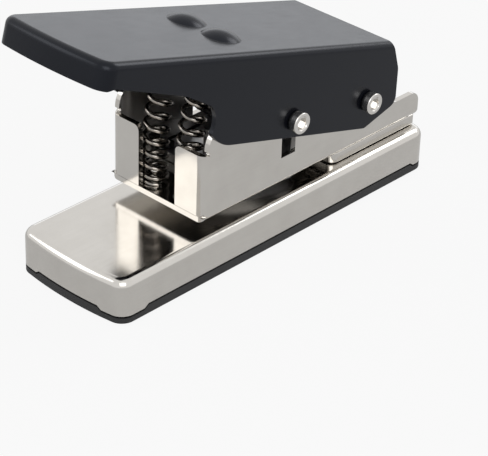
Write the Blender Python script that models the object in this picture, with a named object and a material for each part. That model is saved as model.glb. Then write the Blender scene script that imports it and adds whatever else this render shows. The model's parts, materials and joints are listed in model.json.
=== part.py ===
"""Guitar pick punch: a sprung lever that drives a pick-shaped punch through a card.

Lengths are in metres and angles in radians unless a name says degrees.
X runs from the finger end of the lever (-X) to the pivot end (+X), Y across, Z up.
Stations along X are measured from the front face of the frame.  The empty
"machine" then carries everything, so that the origin lies on the resting
plane under the middle of the whole object.  The lever is modelled level, about
its pivot, and the empty "lever_hinge" lifts it to its rest tilt.
"""

import math

import bmesh
import bpy
from mathutils import Matrix, Vector

# Clearances
SEAT_GAP = 0.0003
RUNNING_GAP = 0.0003
HOLE_GAP = 0.0002
OVERRUN = 0.0020

# Base cover, a pressed steel box open underneath
BASE_LENGTH = 0.1413
BASE_WIDTH = 0.0450
BASE_HEIGHT = 0.0147
BASE_FRONT_REACH = 0.0373
BASE_BOW_RADIUS = 0.1300
BASE_CORNER_RADIUS = 0.0050
BASE_EDGE_RADIUS = 0.0030
BASE_SHEET = 0.0012
LOBE_BOTTOM = 0.0023
SKIRT_BOTTOM = 0.0034
FRONT_LOBE_LENGTH = 0.0108
REAR_LOBE_LENGTH = 0.0075
END_LOBE_WIDTH = 0.0082
LOBE_SLOPE = 0.0016

# Foot tray, a moulded black pad that plugs into the cover
TRAY_FLOOR = 0.0020
TRAY_WALL = 0.0015
TRAY_PLUG_HEIGHT = 0.0085
TRAY_FOOT_CHAMFER = 0.0003
DROP_WINDOW_LENGTH = 0.0340
DROP_WINDOW_WIDTH = 0.0300
DROP_WINDOW_RADIUS = 0.0030

# Pick outline: a rounded triangle with bowed sides
PICK_LENGTH = 0.0300
PICK_WIDTH = 0.0260
PICK_TIP_RADIUS = 0.0032
PICK_SHOULDER_RADIUS = 0.0050
PICK_TOP_RADIUS = 0.0300
PICK_SIDE_RADIUS = 0.0340
PUNCH_GAP = 0.0002
COVER_WINDOW_GAP = 0.0006

# Card slot and the die under it
CARD_SLOT = 0.00425
DIE_END_MARGIN = 0.0075
DIE_SIDE_GAP = 0.0005
DIE_THICKNESS = 0.0048
DIE_CORNER_RADIUS = 0.0020
DIE_SCREW_INSET_X = 0.0036
DIE_SCREW_INSET_Y = 0.0080
DIE_SCREW_HEAD_RADIUS = 0.0022
DIE_SCREW_RADIUS = 0.0013
DIE_SCREW_LENGTH = 0.0042

# Frame, a folded channel of plated sheet
FRAME_WIDTH = 0.0400
FRAME_SHEET = 0.0018
FRAME_BEND_RADIUS = 0.0026
FOLD_RADIUS = 0.0032
PLATE_CORNER_RADIUS = 0.0024
FRAME_LENGTH = 0.0997
WALL_HEIGHT = 0.0316
WALL_NOSE_RADIUS = 0.0075
WALL_BACK = 0.0760
WALL_BACK_RADIUS = 0.0050
TAIL_HEIGHT = 0.00925
TAIL_FOOT = 0.0850
TAIL_FOOT_RADIUS = 0.0060
TAIL_TOP_RADIUS = 0.0035
TAIL_BOTTOM_RADIUS = 0.0025
FLANGE_HEIGHT = 0.02265
FLANGE_CORNER_RADIUS = 0.0020
MOUTH_WIDTH = 0.0156
RELIEF_SLOT = 0.0011
RELIEF_REACH = 0.0021
FOLD_SLIT = 0.0004

# Pivot, and the lever that turns on it
PIVOT_STATION = 0.0708
PIVOT_RISE = 0.01695
REST_TILT_DEGREES = 16.06
PIN_RADIUS = 0.0020
LEVER_SIDE_GAP = 0.00055
LEVER_SHEET = 0.0016
LEVER_EDGE_RADIUS = 0.0024
LEVER_CORNER_RADIUS = 0.0050
LEVER_BOW_RADIUS = 0.1400
LEVER_TOP_LENGTH = 0.1290
LEVER_PIVOT_REACH = 0.12235
LEVER_PIVOT_DEPTH = 0.0189
LEVER_LIP_DEPTH = 0.0082
LEVER_LIP_REACH = 0.0038
LEVER_LIP_RADIUS = 0.0016
LEVER_STEP_DEPTH = 0.0009
LEVER_STEP_LENGTH = 0.0024
LEVER_STEP_RADIUS = 0.0012
LEVER_SIDE_DEPTH = 0.0284
KNEE_REACH = 0.0362
KNEE_DEPTH = 0.0115
KNEE_RADIUS = 0.0120
NOTCH_REACH = 0.0444
NOTCH_DEPTH = 0.0216
NOTCH_RADIUS = 0.00715
TOE_DEPTH = 0.0244
SOLE_RADIUS_SHARE = 3.45
HEEL_TOP_REACH = 0.0056
HEEL_TOP_DEPTH = 0.0088
HEEL_REACH = 0.0087
HEEL_DEPTH = 0.0206
HEEL_INSET = 0.0046
HEEL_TOP_RADIUS = 0.0060
HEEL_RADIUS = 0.0032
HEEL_FOOT_RADIUS = 0.0030
DOME_REACH = 0.0632
DOME_SPACING = 0.0144
DOME_RADIUS = 0.0062
DOME_HEIGHT = 0.0022

# Drive pin, which pushes the punch down
DRIVE_ARM = 0.0344
DRIVE_DROP = 0.0038
SLOT_WIDTH = 0.0062
SLOT_OFFSET = 0.0005
SLOT_FLOOR = 0.0097

# Bolts through the lever, with a washer under each head
BOLT_HEAD_RADIUS = 0.0035
BOLT_HEAD_HEIGHT = 0.0021
BOLT_HEAD_CHAMFER = 0.0004
SOCKET_ACROSS_FLATS = 0.0036
SOCKET_DEPTH = 0.0015
SOCKET_CHAMFER = 0.0003
WASHER_RADIUS = 0.0033
WASHER_THICKNESS = 0.0007
NUT_CAP = 0.0007
PIVOT_TUBE_RADIUS = 0.0040
DRIVE_TUBE_RADIUS = 0.0030

# Punch and the yoke that hangs it on the drive pin
PUNCH_PARK = 0.0003
PUNCH_HEIGHT = 0.0160
YOKE_WIDTH = PICK_WIDTH
YOKE_LENGTH = 0.0160
YOKE_SHEET = 0.0018
YOKE_BEND_RADIUS = 0.0022
YOKE_EAR_RADIUS = 0.0042
YOKE_SLOT_PLAY = 0.0008
YOKE_SCREW_SPACING = 0.0090
YOKE_SCREW_HEAD_RADIUS = 0.0025
YOKE_SCREW_HEAD_HEIGHT = 0.0011
YOKE_SCREW_RADIUS = 0.0015
YOKE_SCREW_LENGTH = 0.0070

# Guide plate that keeps the punch square
GUIDE_LENGTH = 0.0385
GUIDE_THICKNESS = 0.0030
GUIDE_CORNER_RADIUS = 0.0015
GUIDE_SCREW_INSET_X = 0.0028
GUIDE_SCREW_INSET_Y = 0.0032
GUIDE_SCREW_HEAD_RADIUS = 0.0019
GUIDE_SCREW_HEAD_HEIGHT = 0.0011
GUIDE_SCREW_RADIUS = 0.0010

# Spacer between the frame and the base, and the rivets through all three
SPACER_WIDTH = 0.0364
SPACER_CORNER_RADIUS = 0.0030
SPACER_REAR_RADIUS = 0.0012
SPACER_NOSE = 0.0040
SPACER_REAR = 0.1008
RIVET_SPACING_Y = 0.0200
RIVET_DIE_GAP = 0.0021
RIVET_REAR = 0.0915
RIVET_RADIUS = 0.0016
RIVET_HEAD_RADIUS = 0.0030
RIVET_HEAD_HEIGHT = 0.0014

# Return springs and the posts they stand on
SPRING_STATION = 0.00647
SPRING_SPACING = 0.0142
SPRING_COIL_RADIUS = 0.0036
SPRING_WIRE_RADIUS = 0.00075
SPRING_REST_GAP = 0.00052
SPRING_ACTIVE_TURNS = 9.85
SPRING_CLOSED_TURNS = 1.25
SPRING_BOW_SHARE = 3.2
SPRING_PITCH_GROWTH_SHARE = 1.04
SPRING_START_DEGREES = 240.0
SPRING_POCKET_DEPTH = 0.0009
SPRING_POCKET_PLAY = 0.00025
SPRING_SEAT_DEPTH = 0.00185
POST_RADIUS = 0.0021
POST_HEIGHT = 0.0050
POST_SHANK_RADIUS = 0.0013
POST_CHAMFER = 0.0005

# Counts that set how finely round shapes are faceted
CORNER_STEPS = 6
BEND_STEPS = 4
BOW_STEPS = 8
BOLT_STEPS = 32
SCREW_STEPS = 20
DOME_STEPS = 28
DOME_RINGS = 5
TURN_POINTS = 9

# Levels that follow from the sizes above
FRAME_BOTTOM = BASE_HEIGHT + CARD_SLOT
PLATE_TOP = FRAME_BOTTOM + FRAME_SHEET
WALL_TOP = FRAME_BOTTOM + WALL_HEIGHT
FLANGE_TOP = FRAME_BOTTOM + FLANGE_HEIGHT
PIVOT_HEIGHT = FRAME_BOTTOM + PIVOT_RISE
BASE_REAR = BASE_LENGTH - BASE_FRONT_REACH
BASE_MIDDLE = BASE_REAR - BASE_LENGTH / 2
PUNCH_STATION = PIVOT_STATION - DRIVE_ARM
DIE_LENGTH = PICK_LENGTH + 2 * DIE_END_MARGIN
DIE_WIDTH = BASE_WIDTH - 2 * (BASE_SHEET + SEAT_GAP + TRAY_WALL + DIE_SIDE_GAP)
RIVET_FRONT = PUNCH_STATION + DIE_LENGTH / 2 + RIVET_DIE_GAP + RIVET_HEAD_RADIUS
SPACER_FRONT = RIVET_FRONT - SPACER_NOSE
LEVER_WIDTH = FRAME_WIDTH + 2 * (LEVER_SIDE_GAP + LEVER_SHEET)
DIE_TOP = BASE_HEIGHT - BASE_SHEET - SEAT_GAP
GUIDE_BOTTOM = PLATE_TOP + SEAT_GAP
REST_TILT = math.radians(REST_TILT_DEGREES)
DRIVE_REST_HEIGHT = (
    PIVOT_HEIGHT + DRIVE_ARM * math.sin(REST_TILT) - DRIVE_DROP * math.cos(REST_TILT)
)
LEVER_REAR_REACH = LEVER_TOP_LENGTH - LEVER_PIVOT_REACH
LEVER_NOSE = (
    PIVOT_STATION
    - LEVER_PIVOT_REACH * math.cos(REST_TILT)
    + (LEVER_PIVOT_DEPTH - LEVER_LIP_DEPTH) * math.sin(REST_TILT)
)
MACHINE_SHIFT = -(BASE_REAR + LEVER_NOSE) / 2


# Scene, finishes and parents


def clear_scene():
    """Remove every object that the start-up scene holds."""
    for thing in list(bpy.data.objects):
        bpy.data.objects.remove(thing, do_unlink=True)


def finish(name, colour, metallic, roughness):
    """Give a Principled material, made once and then shared by name."""
    material = bpy.data.materials.get(name)
    if material is None:
        material = bpy.data.materials.new(name)
        material.use_nodes = True
        shader = material.node_tree.nodes["Principled BSDF"]
        shader.inputs["Base Color"].default_value = (*colour, 1.0)
        shader.inputs["Metallic"].default_value = metallic
        shader.inputs["Roughness"].default_value = roughness
        material.diffuse_color = (*colour, 1.0)
    return material


def nickel():
    """Bright nickel plate on the sheet metal."""
    return finish("nickel_plate", (0.76, 0.74, 0.70), 1.0, 0.22)


def black_paint():
    """Satin black paint of the lever."""
    return finish("black_paint", (0.028, 0.028, 0.033), 0.0, 0.38)


def black_rubber():
    """Black moulded foot."""
    return finish("black_foot", (0.020, 0.020, 0.022), 0.0, 0.62)


def spring_steel():
    """Dark oiled spring wire."""
    return finish("spring_wire", (0.11, 0.105, 0.10), 1.0, 0.28)


def tool_steel():
    """Ground tool steel of the punch and die."""
    return finish("tool_steel", (0.52, 0.52, 0.53), 1.0, 0.35)


def black_oxide():
    """Blackened steel of the washers and small screws."""
    return finish("black_oxide", (0.045, 0.045, 0.048), 0.8, 0.40)


def empty_at(name, place, parent=None):
    """Add an empty that carries pieces."""
    carrier = bpy.data.objects.new(name, None)
    bpy.context.scene.collection.objects.link(carrier)
    carrier.parent = parent
    carrier.location = place
    return carrier


def piece_from(name, shape, material, parent):
    """Turn a bmesh into an object that hangs on a parent empty."""
    bmesh.ops.recalc_face_normals(shape, faces=shape.faces[:])
    mesh = bpy.data.meshes.new(name)
    shape.to_mesh(mesh)
    shape.free()
    piece = bpy.data.objects.new(name, mesh)
    bpy.context.scene.collection.objects.link(piece)
    piece.parent = parent
    if material is not None:
        mesh.materials.append(material)
        mesh.shade_smooth()
        mesh.set_sharp_from_angle(angle=math.radians(32))
    return piece


def tool_for(piece, name, shape, operation="DIFFERENCE"):
    """Cut, join or intersect a piece with a hidden shape on the same parent."""
    cutter = piece_from(f"{piece.name}_{name}", shape, None, piece.parent)
    cutter.hide_render = True
    cutter.display_type = "WIRE"
    step = piece.modifiers.new(name, "BOOLEAN")
    step.operation = operation
    step.solver = "EXACT"
    step.object = cutter
    return cutter


# Plane outlines


def arc(centre, radius, start, end, steps):
    """Points along an arc, from the start angle to the end angle."""
    points = []
    for index in range(steps + 1):
        angle = start + (end - start) * index / steps
        points.append((centre[0] + radius * math.cos(angle), centre[1] + radius * math.sin(angle)))
    return points


def rounded(corners, steps=CORNER_STEPS):
    """Round the corners of a polygon; each corner is (x, y, radius)."""
    points = []
    count = len(corners)
    for index, (x, y, radius) in enumerate(corners):
        here = Vector((x, y))
        before = Vector(corners[index - 1][:2]) - here
        after = Vector(corners[(index + 1) % count][:2]) - here
        if radius <= 0:
            points.append((x, y))
            continue
        before.normalize()
        after.normalize()
        half = before.angle(after) / 2
        middle = (before + after).normalized()
        centre = here + middle * radius / math.sin(half)
        entry = here + before * radius / math.tan(half) - centre
        leave = here + after * radius / math.tan(half) - centre
        start = math.atan2(entry.y, entry.x)
        sweep = math.atan2(leave.y, leave.x) - start
        sweep = (sweep + math.pi) % (2 * math.pi) - math.pi
        points += arc(centre, radius, start, start + sweep, steps)
    return points


def rectangle(low_x, high_x, half_y, radius=0.0):
    """A rectangle about the X axis with rounded corners."""
    corners = [
        (low_x, -half_y, radius),
        (high_x, -half_y, radius),
        (high_x, half_y, radius),
        (low_x, half_y, radius),
    ]
    return rounded(corners)


def ring_points(radius, steps, centre=(0.0, 0.0)):
    """Points round a full circle."""
    return arc(centre, radius, 0.0, 2 * math.pi, steps)[:-1]


def base_quarter(lobe_length):
    """A quarter of the base plan as (centre, radius, angle, low); low marks a lobe."""
    half_length = BASE_LENGTH / 2
    half_width = BASE_WIDTH / 2
    corner_y = half_width - BASE_CORNER_RADIUS
    bow_x = half_length - BASE_BOW_RADIUS
    reach = BASE_BOW_RADIUS - BASE_CORNER_RADIUS
    corner_x = bow_x + math.sqrt(reach * reach - corner_y * corner_y)
    lean = math.atan2(corner_y, corner_x - bow_x)
    end_lobe = math.asin((half_width - END_LOBE_WIDTH) / BASE_BOW_RADIUS)
    end_rise = math.asin((half_width - END_LOBE_WIDTH - LOBE_SLOPE) / BASE_BOW_RADIUS)
    side_lobe = half_length - lobe_length
    side_rise = side_lobe - LOBE_SLOPE
    quarter = []
    for index in range(BOW_STEPS // 2):
        quarter.append(((bow_x, 0.0), BASE_BOW_RADIUS, end_rise * index / (BOW_STEPS // 2), False))
    quarter.append(((bow_x, 0.0), BASE_BOW_RADIUS, end_rise, False))
    quarter.append(((bow_x, 0.0), BASE_BOW_RADIUS, end_lobe, True))
    for index in range(CORNER_STEPS + 1):
        angle = lean + (math.pi / 2 - lean) * index / CORNER_STEPS
        quarter.append(((corner_x, corner_y), BASE_CORNER_RADIUS, angle, True))
    quarter.append(((side_lobe, corner_y), BASE_CORNER_RADIUS, math.pi / 2, True))
    quarter.append(((side_rise, corner_y), BASE_CORNER_RADIUS, math.pi / 2, False))
    return quarter


def base_ring(inset, high, low=None):
    """A closed ring of points round the base, at one level or lower at its lobes."""
    if low is None:
        low = high
    quarters = []
    for lobe_length in (REAR_LOBE_LENGTH, FRONT_LOBE_LENGTH):
        quarter = []
        for (x, y), radius, angle, lobe in base_quarter(lobe_length):
            reach = radius - inset
            level = low if lobe else high
            quarter.append((x + reach * math.cos(angle), y + reach * math.sin(angle), level))
        quarters.append(quarter)
    rear, front = quarters
    half = rear + [(-x, y, z) for x, y, z in reversed(front)]
    mirrored = [(x, -y, z) for x, y, z in reversed(half[1:-1])]
    return [(x + BASE_MIDDLE, y, z) for x, y, z in half + mirrored]


def circle_meeting(first, first_reach, second, second_reach):
    """Centre at given distances from two centres, on the right of the line between them."""
    line = Vector(second) - Vector(first)
    span = line.length
    along = (first_reach**2 - second_reach**2 + span**2) / (2 * span)
    off = math.sqrt(first_reach**2 - along**2)
    unit = line / span
    return Vector(first) + unit * along + Vector((unit.y, -unit.x)) * off


def pick_outline(grow=0.0):
    """Plan of a pick with its tip to the front, centred on the punch axis."""
    tip = Vector((PICK_TIP_RADIUS - PICK_LENGTH / 2, 0.0))
    shoulder_y = PICK_WIDTH / 2 - PICK_SHOULDER_RADIUS
    top_reach = PICK_TOP_RADIUS - PICK_SHOULDER_RADIUS
    top_x = PICK_LENGTH / 2 - PICK_TOP_RADIUS
    shoulder = Vector((top_x + math.sqrt(top_reach**2 - shoulder_y**2), shoulder_y))
    side = circle_meeting(
        tip,
        PICK_SIDE_RADIUS - PICK_TIP_RADIUS,
        shoulder,
        PICK_SIDE_RADIUS - PICK_SHOULDER_RADIUS,
    )
    top_lean = math.atan2(shoulder.y, shoulder.x - top_x)
    to_shoulder = shoulder - side
    to_tip = tip - side
    shoulder_lean = math.atan2(to_shoulder.y, to_shoulder.x)
    tip_lean = math.atan2(to_tip.y, to_tip.x)
    upper = arc((top_x, 0.0), PICK_TOP_RADIUS + grow, 0.0, top_lean, BEND_STEPS)
    upper += arc(shoulder, PICK_SHOULDER_RADIUS + grow, top_lean, shoulder_lean, CORNER_STEPS)[1:]
    upper += arc(side, PICK_SIDE_RADIUS + grow, shoulder_lean, tip_lean, CORNER_STEPS)[1:]
    upper += arc(tip, PICK_TIP_RADIUS + grow, tip_lean, math.pi, BEND_STEPS)[1:]
    lower = [(x, -y) for x, y in reversed(upper[1:-1])]
    return [(x + PUNCH_STATION, y) for x, y in upper + lower]


# Solids from outlines


def prism(outline, low, high, plane="XY"):
    """Extrude a closed outline between two levels along the third axis."""
    shape = bmesh.new()
    place = {
        "XY": lambda a, b, c: (a, b, c),
        "XZ": lambda a, b, c: (a, c, b),
        "YZ": lambda a, b, c: (c, a, b),
    }[plane]
    corners = [shape.verts.new(place(a, b, low)) for a, b in outline]
    face = shape.faces.new(corners)
    grown = bmesh.ops.extrude_face_region(shape, geom=[face])
    moved = [item for item in grown["geom"] if isinstance(item, bmesh.types.BMVert)]
    bmesh.ops.translate(shape, verts=moved, vec=Vector(place(0.0, 0.0, high - low)))
    bmesh.ops.recalc_face_normals(shape, faces=shape.faces[:])
    return shape


def lofted(rings):
    """Join rings of equal count into one closed skin, with a face over each end."""
    shape = bmesh.new()
    loops = [[shape.verts.new(point) for point in ring] for ring in rings]
    for lower, upper in zip(loops, loops[1:]):
        for index in range(len(lower)):
            after = (index + 1) % len(lower)
            shape.faces.new((lower[index], lower[after], upper[after], upper[index]))
    shape.faces.new(loops[0])
    shape.faces.new(loops[-1])
    bmesh.ops.recalc_face_normals(shape, faces=shape.faces[:])
    return shape


def round_edges(shape, radius, steps, wanted):
    """Round the edges of a shape whose two ends pass a test together."""
    edges = [edge for edge in shape.edges if wanted(*(vert.co for vert in edge.verts))]
    bmesh.ops.bevel(
        shape,
        geom=edges,
        offset=radius,
        segments=steps,
        profile=0.5,
        affect="EDGES",
        material=-1,
    )
    return shape


def block(low, high):
    """A box between two corners."""
    outline = [(low[0], low[1]), (high[0], low[1]), (high[0], high[1]), (low[0], high[1])]
    return prism(outline, low[2], high[2])


def turned(profile, steps, place=(0.0, 0.0, 0.0), axis="Z"):
    """Turn a profile of (radius, height) points about an axis through a place."""
    shape = bmesh.new()
    verts = [shape.verts.new((radius, 0.0, height)) for radius, height in profile]
    edges = [shape.edges.new(pair) for pair in zip(verts, verts[1:])]
    if profile[0][0] > 0:
        edges.append(shape.edges.new((verts[-1], verts[0])))
    bmesh.ops.spin(
        shape,
        geom=edges,
        cent=(0.0, 0.0, 0.0),
        axis=(0.0, 0.0, 1.0),
        angle=2 * math.pi,
        steps=steps,
        use_merge=True,
    )
    merge = SEAT_GAP / 100
    bmesh.ops.remove_doubles(shape, verts=shape.verts[:], dist=merge)
    turn = Matrix.Identity(4)
    if axis == "Y":
        turn = Matrix.Rotation(-math.pi / 2, 4, "X")
    elif axis == "-Y":
        turn = Matrix.Rotation(math.pi / 2, 4, "X")
    bmesh.ops.transform(shape, matrix=Matrix.Translation(place) @ turn, verts=shape.verts[:])
    bmesh.ops.recalc_face_normals(shape, faces=shape.faces[:])
    return shape


def rod(radius, low, high, steps, place=(0.0, 0.0, 0.0), axis="Z"):
    """A plain round bar between two levels on an axis."""
    profile = [(0.0, low), (radius, low), (radius, high), (0.0, high)]
    return turned(profile, steps, place, axis)


def tube(outer, bore, low, high, steps, place=(0.0, 0.0, 0.0), axis="Z"):
    """A plain tube between two levels on an axis."""
    profile = [(bore, low), (outer, low), (outer, high), (bore, high)]
    return turned(profile, steps, place, axis)


# Base cover, tray, die and spacer


def fillet_rings(inset, radius, top):
    """Rings that round the edge between the wall at an inset and the face above."""
    rings = []
    for index in range(BEND_STEPS + 1):
        angle = math.pi / 2 * index / BEND_STEPS
        level = top - radius * (1 - math.sin(angle))
        rings.append(base_ring(inset + radius * (1 - math.cos(angle)), level))
    return rings


def four_corners(middle, half_x, half_y):
    """Centres of four fasteners about a middle on the X axis."""
    return [(middle + sx * half_x, sy * half_y) for sx in (-1, 1) for sy in (-1, 1)]


def die_screw_places():
    """Centres of the screws that hold the die under the cover."""
    return four_corners(
        PUNCH_STATION, DIE_LENGTH / 2 - DIE_SCREW_INSET_X, DIE_WIDTH / 2 - DIE_SCREW_INSET_Y
    )


def rivet_places():
    """Centres of the rivets that join frame, spacer and base."""
    middle = (RIVET_FRONT + RIVET_REAR) / 2
    return four_corners(middle, (RIVET_REAR - RIVET_FRONT) / 2, RIVET_SPACING_Y / 2)


def drill(piece, name, radius, low, high, places, steps=SCREW_STEPS):
    """Drill plain holes along Z at each place."""
    for index, (x, y) in enumerate(places):
        tool_for(piece, f"{name}_{index + 1}", rod(radius, low, high, steps, (x, y, 0.0)))


def make_base_cover(machine):
    """Pressed cover: a rounded box with one skin, lobed skirt and pick window."""
    ceiling = BASE_HEIGHT - BASE_SHEET
    inner = fillet_rings(BASE_SHEET, BASE_EDGE_RADIUS - BASE_SHEET, ceiling)
    rings = [
        *reversed(inner),
        base_ring(BASE_SHEET, SKIRT_BOTTOM, LOBE_BOTTOM),
        base_ring(0.0, SKIRT_BOTTOM, LOBE_BOTTOM),
        *fillet_rings(0.0, BASE_EDGE_RADIUS, BASE_HEIGHT),
    ]
    cover = piece_from("base_cover", lofted(rings), nickel(), machine)
    window = prism(pick_outline(PUNCH_GAP + COVER_WINDOW_GAP), ceiling - OVERRUN, BASE_HEIGHT + OVERRUN)
    tool_for(cover, "pick_window", window)
    rivet_hole = RIVET_RADIUS + HOLE_GAP
    drill(cover, "rivet_hole", rivet_hole, ceiling - OVERRUN, BASE_HEIGHT + OVERRUN, rivet_places())
    head = DIE_SCREW_HEAD_RADIUS + HOLE_GAP
    neck = DIE_SCREW_RADIUS + HOLE_GAP
    for index, (x, y) in enumerate(die_screw_places()):
        profile = [
            (0.0, ceiling - OVERRUN),
            (neck, ceiling - OVERRUN),
            (neck, ceiling),
            (head, BASE_HEIGHT),
            (head, BASE_HEIGHT + OVERRUN),
            (0.0, BASE_HEIGHT + OVERRUN),
        ]
        tool_for(cover, f"screw_seat_{index + 1}", turned(profile, SCREW_STEPS, (x, y, 0.0)))
    return cover


def make_foot_tray(machine):
    """Black tray: a flat foot with a raised rim, a plug wall and a window for picks."""
    rim_low = LOBE_BOTTOM - SEAT_GAP
    rim_high = SKIRT_BOTTOM - SEAT_GAP
    outside = BASE_SHEET + SEAT_GAP
    inside = outside + TRAY_WALL
    rings = [
        base_ring(TRAY_FOOT_CHAMFER, 0.0),
        base_ring(0.0, TRAY_FOOT_CHAMFER),
        base_ring(0.0, rim_high, rim_low),
        base_ring(outside, rim_high, rim_low),
        base_ring(outside, TRAY_PLUG_HEIGHT),
        base_ring(inside, TRAY_PLUG_HEIGHT),
        base_ring(inside, TRAY_FLOOR),
    ]
    tray = piece_from("foot_tray", lofted(rings), black_rubber(), machine)
    window = rectangle(
        PUNCH_STATION - DROP_WINDOW_LENGTH / 2,
        PUNCH_STATION + DROP_WINDOW_LENGTH / 2,
        DROP_WINDOW_WIDTH / 2,
        DROP_WINDOW_RADIUS,
    )
    tool_for(tray, "drop_window", prism(window, -OVERRUN, TRAY_FLOOR + OVERRUN))
    return tray


def make_die(machine):
    """Hardened die plate under the cover, with the pick-shaped hole."""
    plan = rectangle(
        PUNCH_STATION - DIE_LENGTH / 2,
        PUNCH_STATION + DIE_LENGTH / 2,
        DIE_WIDTH / 2,
        DIE_CORNER_RADIUS,
    )
    bottom = DIE_TOP - DIE_THICKNESS
    die = piece_from("die_plate", prism(plan, bottom, DIE_TOP), tool_steel(), machine)
    hole = prism(pick_outline(PUNCH_GAP), bottom - OVERRUN, DIE_TOP + OVERRUN)
    tool_for(die, "pick_hole", hole)
    radius = DIE_SCREW_RADIUS + HOLE_GAP
    drill(die, "screw_hole", radius, bottom - OVERRUN, DIE_TOP + OVERRUN, die_screw_places())
    for index, (x, y) in enumerate(die_screw_places()):
        top = BASE_HEIGHT
        profile = [
            (0.0, top - BASE_SHEET - DIE_SCREW_LENGTH),
            (DIE_SCREW_RADIUS, top - BASE_SHEET - DIE_SCREW_LENGTH),
            (DIE_SCREW_RADIUS, top - BASE_SHEET),
            (DIE_SCREW_HEAD_RADIUS, top),
            (0.0, top),
        ]
        screw = turned(profile, SCREW_STEPS, (x, y, 0.0))
        piece_from(f"die_screw_{index + 1}", screw, black_oxide(), machine)


def make_spacer(machine):
    """Plate that holds the frame above the base and stops the card."""
    half = SPACER_WIDTH / 2
    plan = rounded(
        [
            (SPACER_FRONT, -half, SPACER_CORNER_RADIUS),
            (SPACER_REAR, -half, SPACER_REAR_RADIUS),
            (SPACER_REAR, half, SPACER_REAR_RADIUS),
            (SPACER_FRONT, half, SPACER_CORNER_RADIUS),
        ]
    )
    low = BASE_HEIGHT + SEAT_GAP
    high = FRAME_BOTTOM - SEAT_GAP
    spacer = piece_from("rear_spacer", prism(plan, low, high), nickel(), machine)
    radius = RIVET_RADIUS + HOLE_GAP
    drill(spacer, "rivet_hole", radius, low - OVERRUN, high + OVERRUN, rivet_places())
    low_head = BASE_HEIGHT - BASE_SHEET - SEAT_GAP
    top_head = PLATE_TOP + SEAT_GAP
    for index, (x, y) in enumerate(rivet_places()):
        crown = arc((0.0, top_head), 1.0, 0.0, math.pi / 2, BEND_STEPS)
        dome = [
            (RIVET_HEAD_RADIUS * a, top_head + RIVET_HEAD_HEIGHT * (b - top_head))
            for a, b in crown[:-1]
        ]
        profile = [
            (0.0, low_head - RIVET_HEAD_HEIGHT),
            (RIVET_HEAD_RADIUS, low_head - RIVET_HEAD_HEIGHT),
            (RIVET_HEAD_RADIUS, low_head),
            (RIVET_RADIUS, low_head),
            (RIVET_RADIUS, top_head),
            *dome,
            (0.0, top_head + RIVET_HEAD_HEIGHT),
        ]
        rivet = turned(profile, SCREW_STEPS, (x, y, 0.0))
        piece_from(f"frame_rivet_{index + 1}", rivet, nickel(), machine)


# Frame channel, guide and springs


def frame_side():
    """Side view of the frame: round nose, high wall, low tail."""
    tail_top = FRAME_BOTTOM + TAIL_HEIGHT
    corners = [
        (-OVERRUN, FRAME_BOTTOM - OVERRUN, 0.0),
        (FRAME_LENGTH - TAIL_BOTTOM_RADIUS, FRAME_BOTTOM - OVERRUN, 0.0),
        (FRAME_LENGTH - TAIL_BOTTOM_RADIUS, FRAME_BOTTOM, 0.0),
        (FRAME_LENGTH, FRAME_BOTTOM, TAIL_BOTTOM_RADIUS),
        (FRAME_LENGTH, tail_top, TAIL_TOP_RADIUS),
        (TAIL_FOOT, tail_top, TAIL_FOOT_RADIUS),
        (WALL_BACK, WALL_TOP, WALL_BACK_RADIUS),
        (FRAME_SHEET, WALL_TOP, WALL_NOSE_RADIUS),
        (FRAME_SHEET, FLANGE_TOP + RELIEF_SLOT / 2, 0.0),
        (-OVERRUN, FLANGE_TOP + RELIEF_SLOT / 2, 0.0),
    ]
    return rounded(corners)


def fold_corner(side, radius):
    """Plan of the metal missing outside a vertical round corner at the front."""
    half = FRAME_WIDTH / 2
    bend = arc((radius, half - radius), radius, math.pi, math.pi / 2, BEND_STEPS)
    points = [(-OVERRUN, half - radius), *bend, (radius, half + OVERRUN), (-OVERRUN, half + OVERRUN)]
    return [(x, y * side) for x, y in points]


def mouth_outline():
    """Front view of the opening between the two folded flanges and above them."""
    half = MOUTH_WIDTH / 2
    inside = FRAME_WIDTH / 2 - FRAME_SHEET
    radius = FLANGE_CORNER_RADIUS
    shoulder = arc((half + radius, FLANGE_TOP - radius), radius, math.pi, math.pi / 2, BEND_STEPS)
    right = [(half, PLATE_TOP), *shoulder, (inside, FLANGE_TOP), (inside, WALL_TOP + OVERRUN)]
    left = [(-y, z) for y, z in reversed(right)]
    return right + left


def spring_places():
    """Cross positions of the two springs, left then right."""
    return {"left": SPRING_SPACING / 2, "right": -SPRING_SPACING / 2}


def guide_screw_places():
    """Centres of the screws that hold the guide plate."""
    half_y = FRAME_WIDTH / 2 - FRAME_SHEET - GUIDE_SCREW_INSET_Y
    return four_corners(PUNCH_STATION, GUIDE_LENGTH / 2 - GUIDE_SCREW_INSET_X, half_y)


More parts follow.
